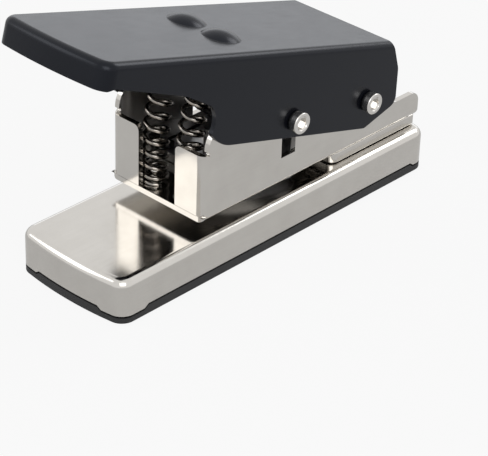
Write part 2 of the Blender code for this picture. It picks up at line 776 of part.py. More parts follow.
def make_frame(machine):
    """Folded channel: floor, two walls, front flanges, slots and holes."""
    half = FRAME_WIDTH / 2
    outer = block((0.0, -half, FRAME_BOTTOM), (FRAME_LENGTH, half, WALL_TOP))
    near_floor = FRAME_BOTTOM + OVERRUN / 2
    near_plate = PLATE_TOP + OVERRUN / 2
    round_edges(
        outer,
        FRAME_BEND_RADIUS,
        BEND_STEPS,
        lambda a, b: max(a.z, b.z) < near_floor and abs(a.y - b.y) < OVERRUN,
    )
    trim_ends(outer)
    frame = piece_from("frame_channel", outer, nickel(), machine)
    tool_for(frame, "side_view", prism(frame_side(), -half - OVERRUN, half + OVERRUN, "XZ"), "INTERSECT")
    inside = half - FRAME_SHEET
    hollow = block(
        (FRAME_SHEET, -inside, PLATE_TOP),
        (FRAME_LENGTH + OVERRUN, inside, WALL_TOP + OVERRUN),
    )
    round_edges(
        hollow,
        FRAME_BEND_RADIUS - FRAME_SHEET,
        BEND_STEPS,
        lambda a, b: max(a.z, b.z) < near_plate and abs(a.y - b.y) < OVERRUN,
    )
    trim_ends(hollow)
    tool_for(frame, "hollow", hollow)
    face = FRAME_SHEET + SEAT_GAP
    tool_for(frame, "mouth", prism(mouth_outline(), -OVERRUN, face, "YZ"))
    slit_top = PLATE_TOP + FOLD_SLIT
    flat = half - FOLD_RADIUS + FOLD_SLIT
    slit = block((-OVERRUN, -flat, PLATE_TOP), (face, flat, slit_top))
    tool_for(frame, "fold_slit", slit)
    for side in (-1, 1):
        name = "left" if side > 0 else "right"
        fold = fold_corner(side, FOLD_RADIUS)
        tool_for(frame, f"fold_{name}", prism(fold, slit_top, FLANGE_TOP + RELIEF_SLOT / 2))
        corner = fold_corner(side, PLATE_CORNER_RADIUS)
        tool_for(frame, f"corner_{name}", prism(corner, FRAME_BOTTOM - OVERRUN, slit_top))
        cut_relief(frame, name, side)
    cut_frame_holes(frame)
    return frame


def trim_ends(shape):
    """Merge the doubled points that a bevel can leave on its end faces."""
    bmesh.ops.remove_doubles(shape, verts=shape.verts[:], dist=SEAT_GAP / 100)


def cut_relief(frame, name, side):
    """Round-ended slot that parts a folded flange from the free wall above it."""
    radius = RELIEF_SLOT / 2
    middle = (RELIEF_REACH, FLANGE_TOP + radius)
    end = arc(middle, radius, -math.pi / 2, math.pi / 2, CORNER_STEPS)
    outline = [(-OVERRUN, FLANGE_TOP), *end, (-OVERRUN, FLANGE_TOP + RELIEF_SLOT)]
    near = (FRAME_WIDTH / 2 - FRAME_SHEET - OVERRUN) * side
    far = (FRAME_WIDTH / 2 + OVERRUN) * side
    tool_for(frame, f"relief_{name}", prism(outline, min(near, far), max(near, far), "XZ"))


def cut_frame_holes(frame):
    """Pin holes and drive slots in the walls, pick and rivet holes in the floor."""
    reach = FRAME_WIDTH / 2 + OVERRUN
    place = (PIVOT_STATION, 0.0, PIVOT_HEIGHT)
    bore = PIN_RADIUS + RUNNING_GAP
    tool_for(frame, "pivot_hole", rod(bore, -reach, reach, BOLT_STEPS, place, "Y"))
    slot_low = FRAME_BOTTOM + SLOT_FLOOR
    slot_high = DRIVE_REST_HEIGHT + PIN_RADIUS + RUNNING_GAP
    slot_middle = PUNCH_STATION + SLOT_OFFSET
    slot = block(
        (slot_middle - SLOT_WIDTH / 2, -reach, slot_low),
        (slot_middle + SLOT_WIDTH / 2, reach, slot_high),
    )
    tool_for(frame, "drive_slot", slot)
    low = FRAME_BOTTOM - OVERRUN
    high = PLATE_TOP + OVERRUN
    tool_for(frame, "pick_hole", prism(pick_outline(PUNCH_GAP + COVER_WINDOW_GAP), low, high))
    drill(frame, "rivet_hole", RIVET_RADIUS + HOLE_GAP, low, high, rivet_places())
    drill(frame, "guide_hole", GUIDE_SCREW_RADIUS + HOLE_GAP, low, high, guide_screw_places())
    posts = [(SPRING_STATION, y) for y in spring_places().values()]
    drill(frame, "post_hole", POST_SHANK_RADIUS + HOLE_GAP, low, high, posts)
    pocket = SPRING_COIL_RADIUS + SPRING_WIRE_RADIUS + SPRING_POCKET_PLAY
    drill(frame, "spring_pocket", pocket, PLATE_TOP - SPRING_POCKET_DEPTH, high, posts, BOLT_STEPS)


def make_guide(machine):
    """Guide plate on the frame floor, with its four screws."""
    half_y = FRAME_WIDTH / 2 - FRAME_SHEET - SEAT_GAP
    bend = FRAME_BEND_RADIUS - FRAME_SHEET
    top = GUIDE_BOTTOM + GUIDE_THICKNESS
    half_x = GUIDE_LENGTH / 2
    plan = rectangle(PUNCH_STATION - half_x, PUNCH_STATION + half_x, half_y - bend / 2, GUIDE_CORNER_RADIUS)
    guide = piece_from("punch_guide", prism(plan, GUIDE_BOTTOM, top), tool_steel(), machine)
    tool_for(guide, "pick_hole", prism(pick_outline(PUNCH_GAP), GUIDE_BOTTOM - OVERRUN, top + OVERRUN))
    radius = GUIDE_SCREW_RADIUS + HOLE_GAP
    drill(guide, "screw_hole", radius, GUIDE_BOTTOM - OVERRUN, top + OVERRUN, guide_screw_places())
    seat = top + SEAT_GAP
    for index, (x, y) in enumerate(guide_screw_places()):
        profile = [
            (0.0, FRAME_BOTTOM),
            (GUIDE_SCREW_RADIUS, FRAME_BOTTOM),
            (GUIDE_SCREW_RADIUS, seat),
            (GUIDE_SCREW_HEAD_RADIUS, seat),
            (GUIDE_SCREW_HEAD_RADIUS, seat + GUIDE_SCREW_HEAD_HEIGHT),
            (0.0, seat + GUIDE_SCREW_HEAD_HEIGHT),
        ]
        screw = turned(profile, SCREW_STEPS, (x, y, 0.0))
        piece_from(f"guide_screw_{index + 1}", screw, black_oxide(), machine)


def spring_seat():
    """Middle of a spring's upper end, under a dome of the lifted lever."""
    along = DOME_REACH - LEVER_PIVOT_REACH
    up = LEVER_PIVOT_DEPTH - SPRING_SEAT_DEPTH
    x = PIVOT_STATION + along * math.cos(REST_TILT) + up * math.sin(REST_TILT)
    z = PIVOT_HEIGHT - along * math.sin(REST_TILT) + up * math.cos(REST_TILT)
    return Vector((x, 0.0, z))


def spring_floor():
    """Level that the springs and their posts stand on, in the frame's pockets."""
    return PLATE_TOP - SPRING_POCKET_DEPTH + SEAT_GAP


def spring_points(y, upper_y):
    """Points along one coil: closed ends, open middle, bowed back to its upper seat."""
    foot = Vector((SPRING_STATION, 0.0, spring_floor() + SPRING_WIRE_RADIUS))
    head = spring_seat()
    rise = head.z - foot.z
    closed_pitch = 2 * SPRING_WIRE_RADIUS + SPRING_REST_GAP
    closed_rise = closed_pitch * SPRING_CLOSED_TURNS
    turns = SPRING_ACTIVE_TURNS + 2 * SPRING_CLOSED_TURNS
    open_rise = rise - 2 * closed_rise
    count = round(turns * TURN_POINTS)
    points = []
    for index in range(count + 1):
        turn = turns * index / count
        if turn < SPRING_CLOSED_TURNS:
            height = closed_pitch * turn
        elif turn > turns - SPRING_CLOSED_TURNS:
            height = rise - closed_pitch * (turns - turn)
        else:
            wound = (turn - SPRING_CLOSED_TURNS) / SPRING_ACTIVE_TURNS
            height = closed_rise + open_rise * wound**SPRING_PITCH_GROWTH_SHARE
        share = height / rise
        tilt = REST_TILT * share
        centre_x = foot.x + (head.x - foot.x) * share**SPRING_BOW_SHARE
        centre_y = y + (upper_y - y) * share
        angle = math.radians(SPRING_START_DEGREES) - 2 * math.pi * turn
        out = SPRING_COIL_RADIUS * math.cos(angle)
        x = centre_x + out * math.cos(tilt)
        z = foot.z + height - out * math.sin(tilt)
        points.append(Vector((x, centre_y + SPRING_COIL_RADIUS * math.sin(angle), z)))
    return points


def least_gap(points):
    """Smallest clear distance between one turn of a coil and the next ones."""
    apart = TURN_POINTS // 2
    least = min(
        (points[first] - points[second]).length
        for first in range(len(points))
        for second in range(first + apart, min(first + 2 * TURN_POINTS, len(points)))
    )
    return least - 2 * SPRING_WIRE_RADIUS


def make_springs(machine):
    """Two coil springs side by side, each on its post."""
    for side, y in spring_places().items():
        upper_y = math.copysign(DOME_SPACING / 2, y)
        points = spring_points(y, upper_y)
        print(f"return_spring_{side}: least gap between turns {least_gap(points) * 1000:.2f} mm")
        curve = bpy.data.curves.new(f"return_spring_{side}", "CURVE")
        curve.dimensions = "3D"
        curve.bevel_depth = SPRING_WIRE_RADIUS
        curve.bevel_resolution = 1
        curve.use_fill_caps = True
        curve.resolution_u = 1
        line = curve.splines.new("POLY")
        line.points.add(len(points) - 1)
        for target, point in zip(line.points, points):
            target.co = (*point, 1.0)
        curve.materials.append(spring_steel())
        spring = bpy.data.objects.new(f"return_spring_{side}", curve)
        bpy.context.scene.collection.objects.link(spring)
        spring.parent = machine
        foot = spring_floor()
        profile = [
            (0.0, FRAME_BOTTOM),
            (POST_SHANK_RADIUS, FRAME_BOTTOM),
            (POST_SHANK_RADIUS, foot),
            (POST_RADIUS, foot),
            (POST_RADIUS, foot + POST_HEIGHT - POST_CHAMFER),
            (POST_RADIUS - POST_CHAMFER, foot + POST_HEIGHT),
            (0.0, foot + POST_HEIGHT),
        ]
        post = turned(profile, SCREW_STEPS, (SPRING_STATION, y, 0.0))
        piece_from(f"spring_post_{side}", post, nickel(), machine)


# Lever, modelled level about its pivot


def lever_point(reach, depth):
    """Place in the lever's own frame from its front edge and its top face."""
    return (reach - LEVER_PIVOT_REACH, LEVER_PIVOT_DEPTH - depth)


def lever_side():
    """Side view of the lever: thin lip, round notch, deep cheek, raked heel."""
    notch = Vector((NOTCH_REACH, NOTCH_DEPTH))
    knee = Vector((KNEE_REACH, KNEE_DEPTH))
    line = notch - knee
    spread = math.asin(NOTCH_RADIUS / line.length)
    heading = math.atan2(line.y, line.x) - spread
    toe_lean = math.asin((TOE_DEPTH - NOTCH_DEPTH) / NOTCH_RADIUS)
    toe = notch + Vector((math.cos(toe_lean), math.sin(toe_lean))) * NOTCH_RADIUS
    drop = LEVER_SIDE_DEPTH - TOE_DEPTH
    sole_start = toe.x + math.sqrt(max(2 * sole_radius() * drop - drop * drop, 0.0))
    rise = math.asin((sole_start - toe.x) / sole_radius())
    sole_centre = (sole_start, LEVER_SIDE_DEPTH - sole_radius())
    sole = arc(sole_centre, sole_radius(), math.pi / 2 + rise, math.pi / 2, CORNER_STEPS)
    scoop = arc(notch, NOTCH_RADIUS, heading - math.pi / 2, toe_lean, 2 * CORNER_STEPS)
    back = LEVER_TOP_LENGTH
    foot_x = back - HEEL_INSET
    corners = [
        (-OVERRUN, -OVERRUN - DOME_HEIGHT, 0.0),
        (-OVERRUN, LEVER_LIP_DEPTH, 0.0),
        (LEVER_LIP_REACH, LEVER_LIP_DEPTH, LEVER_LIP_RADIUS),
        (LEVER_LIP_REACH + LEVER_STEP_LENGTH, LEVER_LIP_DEPTH - LEVER_STEP_DEPTH, LEVER_STEP_RADIUS),
        (knee.x, knee.y, KNEE_RADIUS),
        *[(x, y, 0.0) for x, y in scoop],
        *[(x, y, 0.0) for x, y in sole[1:]],
        (foot_x, LEVER_SIDE_DEPTH, HEEL_FOOT_RADIUS),
        (back + HEEL_REACH, HEEL_DEPTH, HEEL_RADIUS),
        (back + HEEL_TOP_REACH, HEEL_TOP_DEPTH, HEEL_TOP_RADIUS),
        (back, 0.0, 0.0),
        (back, -OVERRUN - DOME_HEIGHT, 0.0),
    ]
    return [lever_point(reach, depth) for reach, depth in rounded(corners)]


def sole_radius():
    """Radius of the curve from the cheek's lower edge up to its toe."""
    return (LEVER_SIDE_DEPTH - TOE_DEPTH) * SOLE_RADIUS_SHARE


def lever_plan(inset, rear):
    """Plan of the lever with a bowed front and round front corners, running past the rear."""
    half = LEVER_WIDTH / 2
    corner_y = half - LEVER_CORNER_RADIUS
    bow_x = LEVER_BOW_RADIUS - LEVER_PIVOT_REACH
    reach = LEVER_BOW_RADIUS - LEVER_CORNER_RADIUS
    corner_x = bow_x - math.sqrt(reach * reach - corner_y * corner_y)
    lean = math.atan2(corner_y, bow_x - corner_x)
    corner = LEVER_CORNER_RADIUS - inset
    bow = LEVER_BOW_RADIUS - inset
    front = arc((corner_x, corner_y), corner, math.pi / 2, math.pi - lean, CORNER_STEPS)
    front += arc((bow_x, 0.0), bow, math.pi - lean, math.pi + lean, BOW_STEPS)[1:-1]
    front += arc((corner_x, -corner_y), corner, math.pi + lean, 3 * math.pi / 2, CORNER_STEPS)
    return [*front, (rear, inset - half), (rear, half - inset)]


def dome_profile(inset):
    """Profile of a dome above the lever's top face, closed below it."""
    ball = (DOME_RADIUS**2 + DOME_HEIGHT**2) / (2 * DOME_HEIGHT)
    sink = LEVER_PIVOT_DEPTH + DOME_HEIGHT - ball
    floor = LEVER_PIVOT_DEPTH - LEVER_SHEET / 2
    if inset > 0:
        floor = LEVER_PIVOT_DEPTH - LEVER_SHEET - OVERRUN / 2
    radius = ball - inset
    level = LEVER_PIVOT_DEPTH if inset == 0 else LEVER_PIVOT_DEPTH - LEVER_SHEET - SEAT_GAP
    start = math.asin((level - sink) / radius)
    crown = arc((0.0, sink), radius, start, math.pi / 2, DOME_RINGS)
    return [(0.0, floor), (crown[0][0], floor), *crown[:-1], (0.0, sink + radius)]


def make_lever(hinge):
    """Pressed lever: one skin with lip and cheeks, two spring domes and pin holes."""
    top = LEVER_PIVOT_DEPTH
    rear = LEVER_REAR_REACH + HEEL_REACH + OVERRUN
    bottom = top - LEVER_SIDE_DEPTH - OVERRUN
    outer = prism(lever_plan(0.0, rear), bottom, top)
    round_edges(outer, LEVER_EDGE_RADIUS, BEND_STEPS, lever_rim(top, rear))
    trim_ends(outer)
    lever = piece_from("press_lever", outer, black_paint(), hinge)
    ceiling = top - LEVER_SHEET
    hollow = prism(lever_plan(LEVER_SHEET, rear + OVERRUN), bottom - OVERRUN, ceiling)
    round_edges(hollow, LEVER_EDGE_RADIUS - LEVER_SHEET, BEND_STEPS, lever_rim(ceiling, rear + OVERRUN))
    trim_ends(hollow)
    tool_for(lever, "hollow", hollow)
    reach = LEVER_WIDTH / 2 + OVERRUN
    tool_for(lever, "side_view", prism(lever_side(), -reach, reach, "XZ"), "INTERSECT")
    dome_x = DOME_REACH - LEVER_PIVOT_REACH
    for side in (-1, 1):
        name = "left" if side > 0 else "right"
        place = (dome_x, side * DOME_SPACING / 2, 0.0)
        tool_for(lever, f"dome_{name}", turned(dome_profile(0.0), DOME_STEPS, place), "UNION")
        tool_for(lever, f"cup_{name}", turned(dome_profile(LEVER_SHEET), DOME_STEPS, place))
    radius = PIN_RADIUS + HOLE_GAP
    tool_for(lever, "pivot_hole", rod(radius, -reach, reach, BOLT_STEPS, axis="Y"))
    drive = (-DRIVE_ARM, 0.0, -DRIVE_DROP)
    tool_for(lever, "drive_hole", rod(radius, -reach, reach, BOLT_STEPS, drive, "Y"))
    return lever


def lever_rim(level, rear):
    """Test for the top face's edges, apart from the one across its rear end."""
    return lambda a, b: min(a.z, b.z) > level - OVERRUN / 2 and min(a.x, b.x) < rear


def make_bolt(name, place, hinge):
    """A headed bolt across the lever, its cap nut and two washers."""
    cheek = LEVER_WIDTH / 2
    washer_in = cheek + SEAT_GAP
    washer_out = washer_in + WASHER_THICKNESS
    head_in = washer_out + SEAT_GAP
    head_out = head_in + BOLT_HEAD_HEIGHT
    shank_end = head_out - NUT_CAP - SOCKET_DEPTH / 2
    rim = BOLT_HEAD_RADIUS - BOLT_HEAD_CHAMFER
    bolt_profile = [
        (0.0, -shank_end + BOLT_HEAD_CHAMFER),
        (PIN_RADIUS, -shank_end + BOLT_HEAD_CHAMFER),
        (PIN_RADIUS, head_in),
        (BOLT_HEAD_RADIUS, head_in),
        (BOLT_HEAD_RADIUS, head_out - BOLT_HEAD_CHAMFER),
        (rim, head_out),
        (0.0, head_out),
    ]
    bolt = piece_from(f"{name}_bolt", turned(bolt_profile, BOLT_STEPS, place, "-Y"), nickel(), hinge)
    cut_socket(bolt, place, -1, head_out)
    bore = PIN_RADIUS + HOLE_GAP
    nut_floor = shank_end + SEAT_GAP
    nut_profile = [
        (0.0, nut_floor),
        (bore, nut_floor),
        (bore, head_in),
        (BOLT_HEAD_RADIUS, head_in),
        (BOLT_HEAD_RADIUS, head_out - BOLT_HEAD_CHAMFER),
        (rim, head_out),
        (0.0, head_out),
    ]
    piece_from(f"{name}_nut", turned(nut_profile, BOLT_STEPS, place, "Y"), nickel(), hinge)
    for side, axis in (("right", "-Y"), ("left", "Y")):
        washer = tube(WASHER_RADIUS, bore, washer_in, washer_out, BOLT_STEPS, place, axis)
        piece_from(f"{name}_washer_{side}", washer, black_oxide(), hinge)


def cut_socket(bolt, place, side, face):
    """Hexagon socket with a chamfered mouth in the end of a head."""
    corner = SOCKET_ACROSS_FLATS / 2 / math.cos(math.pi / 6)
    hexagon = [(place[0] + x, place[2] + z) for x, z in ring_points(corner, 6)]
    near = side * (face - SOCKET_DEPTH)
    far = side * (face + OVERRUN)
    tool_for(bolt, "socket", prism(hexagon, min(near, far), max(near, far), "XZ"))
    mouth_profile = [
        (0.0, face - SOCKET_CHAMFER),
        (corner, face - SOCKET_CHAMFER),
        (corner + SOCKET_CHAMFER, face),
        (corner + SOCKET_CHAMFER, face + OVERRUN),
        (0.0, face + OVERRUN),
    ]
    tool_for(bolt, "mouth", turned(mouth_profile, BOLT_STEPS, place, "-Y"))


def make_pins(machine, hinge):
    """Both cross bolts, and the tubes that space what they pass through."""
    make_bolt("pivot", (0.0, 0.0, 0.0), hinge)
    drive = (-DRIVE_ARM, 0.0, -DRIVE_DROP)
    make_bolt("drive", drive, hinge)
    bore = PIN_RADIUS + RUNNING_GAP
    inside = FRAME_WIDTH / 2 - FRAME_SHEET - SEAT_GAP
    pivot = (PIVOT_STATION, 0.0, PIVOT_HEIGHT)
    pivot_tube = tube(PIVOT_TUBE_RADIUS, bore, -inside, inside, BOLT_STEPS, pivot, "Y")
    piece_from("pivot_tube", pivot_tube, nickel(), machine)
    between = YOKE_WIDTH / 2 - YOKE_SHEET - SEAT_GAP
    drive_tube = tube(DRIVE_TUBE_RADIUS, bore, -between, between, BOLT_STEPS, drive, "Y")
    piece_from("drive_tube", drive_tube, nickel(), hinge)


# Punch and yoke, which slide straight down


def yoke_front():
    """Front view of the yoke: a folded U."""
    half = YOKE_WIDTH / 2
    bottom = yoke_bottom()
    ear_top = DRIVE_REST_HEIGHT + YOKE_EAR_RADIUS
    inner = half - YOKE_SHEET
    floor = bottom + YOKE_SHEET
    inner_radius = YOKE_BEND_RADIUS - YOKE_SHEET
    corners = [
        (-half, bottom, YOKE_BEND_RADIUS),
        (half, bottom, YOKE_BEND_RADIUS),
        (half, ear_top, 0.0),
        (inner, ear_top, 0.0),
        (inner, floor, inner_radius),
        (-inner, floor, inner_radius),
        (-inner, ear_top, 0.0),
        (-half, ear_top, 0.0),
    ]
    return rounded(corners, BEND_STEPS)


def yoke_bottom():
    """Level of the yoke's underside at rest."""
    return punch_bottom() + PUNCH_HEIGHT + SEAT_GAP


def punch_bottom():
    """Level of the cutting face at rest, parked inside the frame floor."""
    return FRAME_BOTTOM + PUNCH_PARK


def yoke_side():
    """Side view of the yoke: a wide foot narrowing to round ears."""
    bottom = yoke_bottom() - OVERRUN
    step = yoke_bottom() + YOKE_SHEET + YOKE_BEND_RADIUS
    half = YOKE_LENGTH / 2
    ear = arc((PUNCH_STATION, DRIVE_REST_HEIGHT), YOKE_EAR_RADIUS, 0.0, math.pi, 2 * CORNER_STEPS)
    return [
        (PUNCH_STATION - half, bottom),
        (PUNCH_STATION + half, bottom),
        (PUNCH_STATION + half, step),
        *ear,
        (PUNCH_STATION - half, step),
    ]


def make_punch(slider):
    """Pick-shaped punch block, its yoke and the two screws between them."""
    low = punch_bottom()
    high = low + PUNCH_HEIGHT
    punch = piece_from("pick_punch", prism(pick_outline(), low, high), tool_steel(), slider)
    half = YOKE_LENGTH / 2
    front = PUNCH_STATION - half
    rear = PUNCH_STATION + half
    yoke = piece_from("punch_yoke", prism(yoke_front(), front, rear, "YZ"), nickel(), slider)
    reach = YOKE_WIDTH / 2 + OVERRUN
    tool_for(yoke, "side_view", prism(yoke_side(), -reach, reach, "XZ"), "INTERSECT")
    half_slot = PIN_RADIUS + RUNNING_GAP
    ends = PUNCH_STATION - YOKE_SLOT_PLAY, PUNCH_STATION + YOKE_SLOT_PLAY
    right_end = arc((ends[1], DRIVE_REST_HEIGHT), half_slot, -math.pi / 2, math.pi / 2, CORNER_STEPS)
    left_end = arc((ends[0], DRIVE_REST_HEIGHT), half_slot, math.pi / 2, 3 * math.pi / 2, CORNER_STEPS)
    tool_for(yoke, "pin_slot", prism(right_end + left_end, -reach, reach, "XZ"))
    places = [(PUNCH_STATION + side * YOKE_SCREW_SPACING / 2, 0.0) for side in (-1, 1)]
    hole = YOKE_SCREW_RADIUS + HOLE_GAP
    floor = yoke_bottom() + YOKE_SHEET
    drill(yoke, "screw_hole", hole, yoke_bottom() - OVERRUN, floor + OVERRUN, places)
    seat = floor + SEAT_GAP
    tip = seat - YOKE_SCREW_LENGTH
    drill(punch, "screw_hole", hole, tip - SEAT_GAP, high + OVERRUN, places)
    for name, (x, y) in zip(("front", "rear"), places):
        profile = [
            (0.0, tip),
            (YOKE_SCREW_RADIUS, tip),
            (YOKE_SCREW_RADIUS, seat),
            (YOKE_SCREW_HEAD_RADIUS, seat),
            (YOKE_SCREW_HEAD_RADIUS, seat + YOKE_SCREW_HEAD_HEIGHT),
            (0.0, seat + YOKE_SCREW_HEAD_HEIGHT),
        ]
        screw = turned(profile, SCREW_STEPS, (x, y, 0.0))
        piece_from(f"yoke_screw_{name}", screw, black_oxide(), slider)


def build():
    """Build the whole punch at rest, with the lever raised."""
    clear_scene()
    machine = empty_at("machine", (MACHINE_SHIFT, 0.0, 0.0))
    hinge = empty_at("lever_hinge", (PIVOT_STATION, 0.0, PIVOT_HEIGHT), machine)
    hinge.rotation_euler = (0.0, REST_TILT, 0.0)
    slider = empty_at("punch_slider", (0.0, 0.0, 0.0), machine)
    make_base_cover(machine)
    make_foot_tray(machine)
    make_die(machine)
    make_spacer(machine)
    make_frame(machine)
    make_guide(machine)
    make_springs(machine)
    make_lever(hinge)
    make_pins(machine, hinge)
    make_punch(slider)


build()
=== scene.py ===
"""Guitar pick punch in a pale studio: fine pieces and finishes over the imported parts.

Lengths are in metres and angles in radians unless a name says degrees.  X runs
from the finger end of the lever (-X) to its pivot (+X), Y across and Z up.  A
station is a distance along X behind the front face of the folded frame.
"""
import json
import logging
import math
from collections.abc import Callable, Iterable, Sequence
from dataclasses import dataclass, field, replace
from enum import Enum
from functools import reduce
from operator import add
from typing import Any, Optional, Union

import bmesh
import bpy
from mathutils import Matrix, Vector


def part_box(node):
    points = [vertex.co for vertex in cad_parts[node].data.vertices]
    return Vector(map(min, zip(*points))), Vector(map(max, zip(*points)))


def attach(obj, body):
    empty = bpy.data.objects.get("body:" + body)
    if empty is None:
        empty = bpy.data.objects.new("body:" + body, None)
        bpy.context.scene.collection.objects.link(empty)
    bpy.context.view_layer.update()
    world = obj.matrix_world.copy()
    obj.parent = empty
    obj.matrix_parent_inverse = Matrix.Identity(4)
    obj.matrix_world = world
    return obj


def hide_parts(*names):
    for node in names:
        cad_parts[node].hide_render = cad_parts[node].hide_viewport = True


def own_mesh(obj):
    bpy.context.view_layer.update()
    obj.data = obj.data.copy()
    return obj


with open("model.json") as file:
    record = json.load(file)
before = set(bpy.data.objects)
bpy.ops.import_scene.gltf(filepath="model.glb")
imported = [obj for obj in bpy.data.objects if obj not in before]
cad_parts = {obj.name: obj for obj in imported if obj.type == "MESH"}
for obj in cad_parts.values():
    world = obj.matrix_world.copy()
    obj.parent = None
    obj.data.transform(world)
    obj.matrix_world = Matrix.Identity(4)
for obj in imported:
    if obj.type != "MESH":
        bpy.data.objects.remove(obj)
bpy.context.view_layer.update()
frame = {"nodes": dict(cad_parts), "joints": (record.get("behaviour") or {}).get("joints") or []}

LOG = logging.getLogger("pick_punch")

Point = tuple[float, float]
Triple = tuple[float, float, float]
FULL_TURN = 2 * math.pi
QUARTER_TURN = math.pi / 2

OVERRUN = 0.0020
SEAT_GAP = 0.0003
HOLE_GAP = 0.0002
RUNNING_GAP = 0.0003
MERGE_DISTANCE = 0.000002
RELIEF_UNIT = 0.0001
WHITE: Triple = (1.0, 1.0, 1.0)

# Facets: round screw and rivet holes, round pin bores, and along bends
HOLE_STEPS = 24
BORE_STEPS = 40
BEND_STEPS = 10


class Body(Enum):
    """Bodies that the new pieces ride on."""

    BASE = "base_frame"
    LEVER = "lever"


class Plane(Enum):
    """Planes that an outline can be drawn in; the third axis is its depth."""

    PLAN = "XY"
    SIDE = "XZ"
    FRONT = "YZ"

    def place(self, first: float, second: float, depth: float) -> Triple:
        """Place an outline point at a depth.

        Args:
            first: Its first coordinate in the plane.
            second: Its second coordinate in the plane.
            depth: Its place along the plane's third axis.

        Returns:
            The point in space.
        """
        if self is Plane.PLAN:
            return (first, second, depth)
        if self is Plane.SIDE:
            return (first, depth, second)
        return (depth, first, second)


class Axis(Enum):
    """Axes that a turned profile can stand on."""

    UP = "up"
    LEFT = "left"
    RIGHT = "right"

    def turn(self) -> Matrix:
        """Turn the Z axis onto this one.

        Returns:
            The matrix of the turn.
        """
        if self is Axis.LEFT:
            return Matrix.Rotation(-QUARTER_TURN, 4, "X")
        if self is Axis.RIGHT:
            return Matrix.Rotation(QUARTER_TURN, 4, "X")
        return Matrix.Identity(4)


# Outlines


def arc(centre: Point, radius: float, start: float, end: float, steps: int) -> list[Point]:
    """Points along an arc.

    Args:
        centre: Middle of the circle.
        radius: Radius of the circle.
        start: Angle of the first point.
        end: Angle of the last point.
        steps: Number of stretches between the points.

    Returns:
        The points, both ends included.
    """
    turns = [start + (end - start) * step / steps for step in range(steps + 1)]
    return [(centre[0] + radius * math.cos(t), centre[1] + radius * math.sin(t)) for t in turns]


def rounded(corners: Sequence[Triple], steps: int = 12) -> list[Point]:
    """Round the corners of a polygon.

    Args:
        corners: Corners as (first, second, radius).
        steps: Number of stretches round each corner.

    Returns:
        The outline's points in the same order.
    """
    points: list[Point] = []
    for index, (first, second, radius) in enumerate(corners):
        if radius <= 0:
            points.append((first, second))
            continue
        here = Vector((first, second))
        before = (Vector(corners[index - 1][:2]) - here).normalized()
        after = (Vector(corners[(index + 1) % len(corners)][:2]) - here).normalized()
        half = before.angle(after) / 2
        centre = here + (before + after).normalized() * radius / math.sin(half)
        entry = here + before * radius / math.tan(half) - centre
        leave = here + after * radius / math.tan(half) - centre
        start = math.atan2(entry.y, entry.x)
        sweep = (math.atan2(leave.y, leave.x) - start + math.pi) % FULL_TURN - math.pi
        points += arc(tuple(centre), radius, start, start + sweep, steps)
    return points


def rectangle(low: float, high: float, half: float, radius: float = 0.0) -> list[Point]:
    """Outline of a rectangle about the first axis, with rounded corners."""
    return rounded([(low, -half, radius), (high, -half, radius), (high, half, radius), (low, half, radius)])


def ring(radius: float, steps: int, centre: Point = (0.0, 0.0)) -> list[Point]:
    """Points round a full circle."""
    return arc(centre, radius, 0.0, FULL_TURN, steps)[:-1]


def four_corners(middle: float, half_x: float, half_y: float) -> list[Point]:
    """Centres of four fasteners about a middle on the X axis."""
    return [(middle + sx * half_x, sy * half_y) for sx in (-1, 1) for sy in (-1, 1)]


# Meshes from outlines


def prism(outline: Sequence[Point], low: float, high: float, plane: Plane = Plane.PLAN) -> bmesh.types.BMesh:
    """Extrude a closed outline between two levels.

    Args:
        outline: Points of the outline.
        low: Level of the first face along the plane's third axis.
        high: Level of the second face.
        plane: Plane that the outline lies in.

    Returns:
        A closed shape.
    """
    shape = bmesh.new()
    face = shape.faces.new([shape.verts.new(plane.place(a, b, low)) for a, b in outline])
    grown = bmesh.ops.extrude_face_region(shape, geom=[face])
    moved = [item for item in grown["geom"] if isinstance(item, bmesh.types.BMVert)]
    bmesh.ops.translate(shape, verts=moved, vec=Vector(plane.place(0.0, 0.0, high - low)))
    bmesh.ops.recalc_face_normals(shape, faces=shape.faces[:])
    return shape


def block(low: Triple, high: Triple) -> bmesh.types.BMesh:
    """Box between two corners.

    Args:
        low: Corner with the least coordinates.
        high: Corner with the greatest coordinates.

    Returns:
        A closed shape.
    """
    shape = bmesh.new()
    bmesh.ops.create_cube(shape, size=1.0)
    size = Vector(high) - Vector(low)
    bmesh.ops.scale(shape, vec=size, verts=shape.verts[:])
    bmesh.ops.translate(shape, vec=Vector(low) + size / 2, verts=shape.verts[:])
    return shape


def lofted(rings: Sequence[Sequence[Triple]]) -> bmesh.types.BMesh:
    """Grow a face through rings of points, each with the same number.

    Args:
        rings: Rings from the first face to the last.

    Returns:
        A closed shape.
    """
    shape = bmesh.new()
    verts = [shape.verts.new(point) for point in rings[0]]
    first = shape.faces.new(verts)
    cap = first
    for points in rings[1:]:
        grown = bmesh.ops.extrude_face_region(shape, geom=[cap])["geom"]
        if cap.is_valid and cap is not first:
            bmesh.ops.delete(shape, geom=[cap], context="FACES_ONLY")
        fresh = {item for item in grown if isinstance(item, bmesh.types.BMVert)}
        cap = next(item for item in grown if isinstance(item, bmesh.types.BMFace))
        verts = [next(v for e in vert.link_edges for v in e.verts if v in fresh) for vert in verts]
        for vert, point in zip(verts, points):
            vert.co = point
    bmesh.ops.recalc_face_normals(shape, faces=shape.faces[:])
    return shape


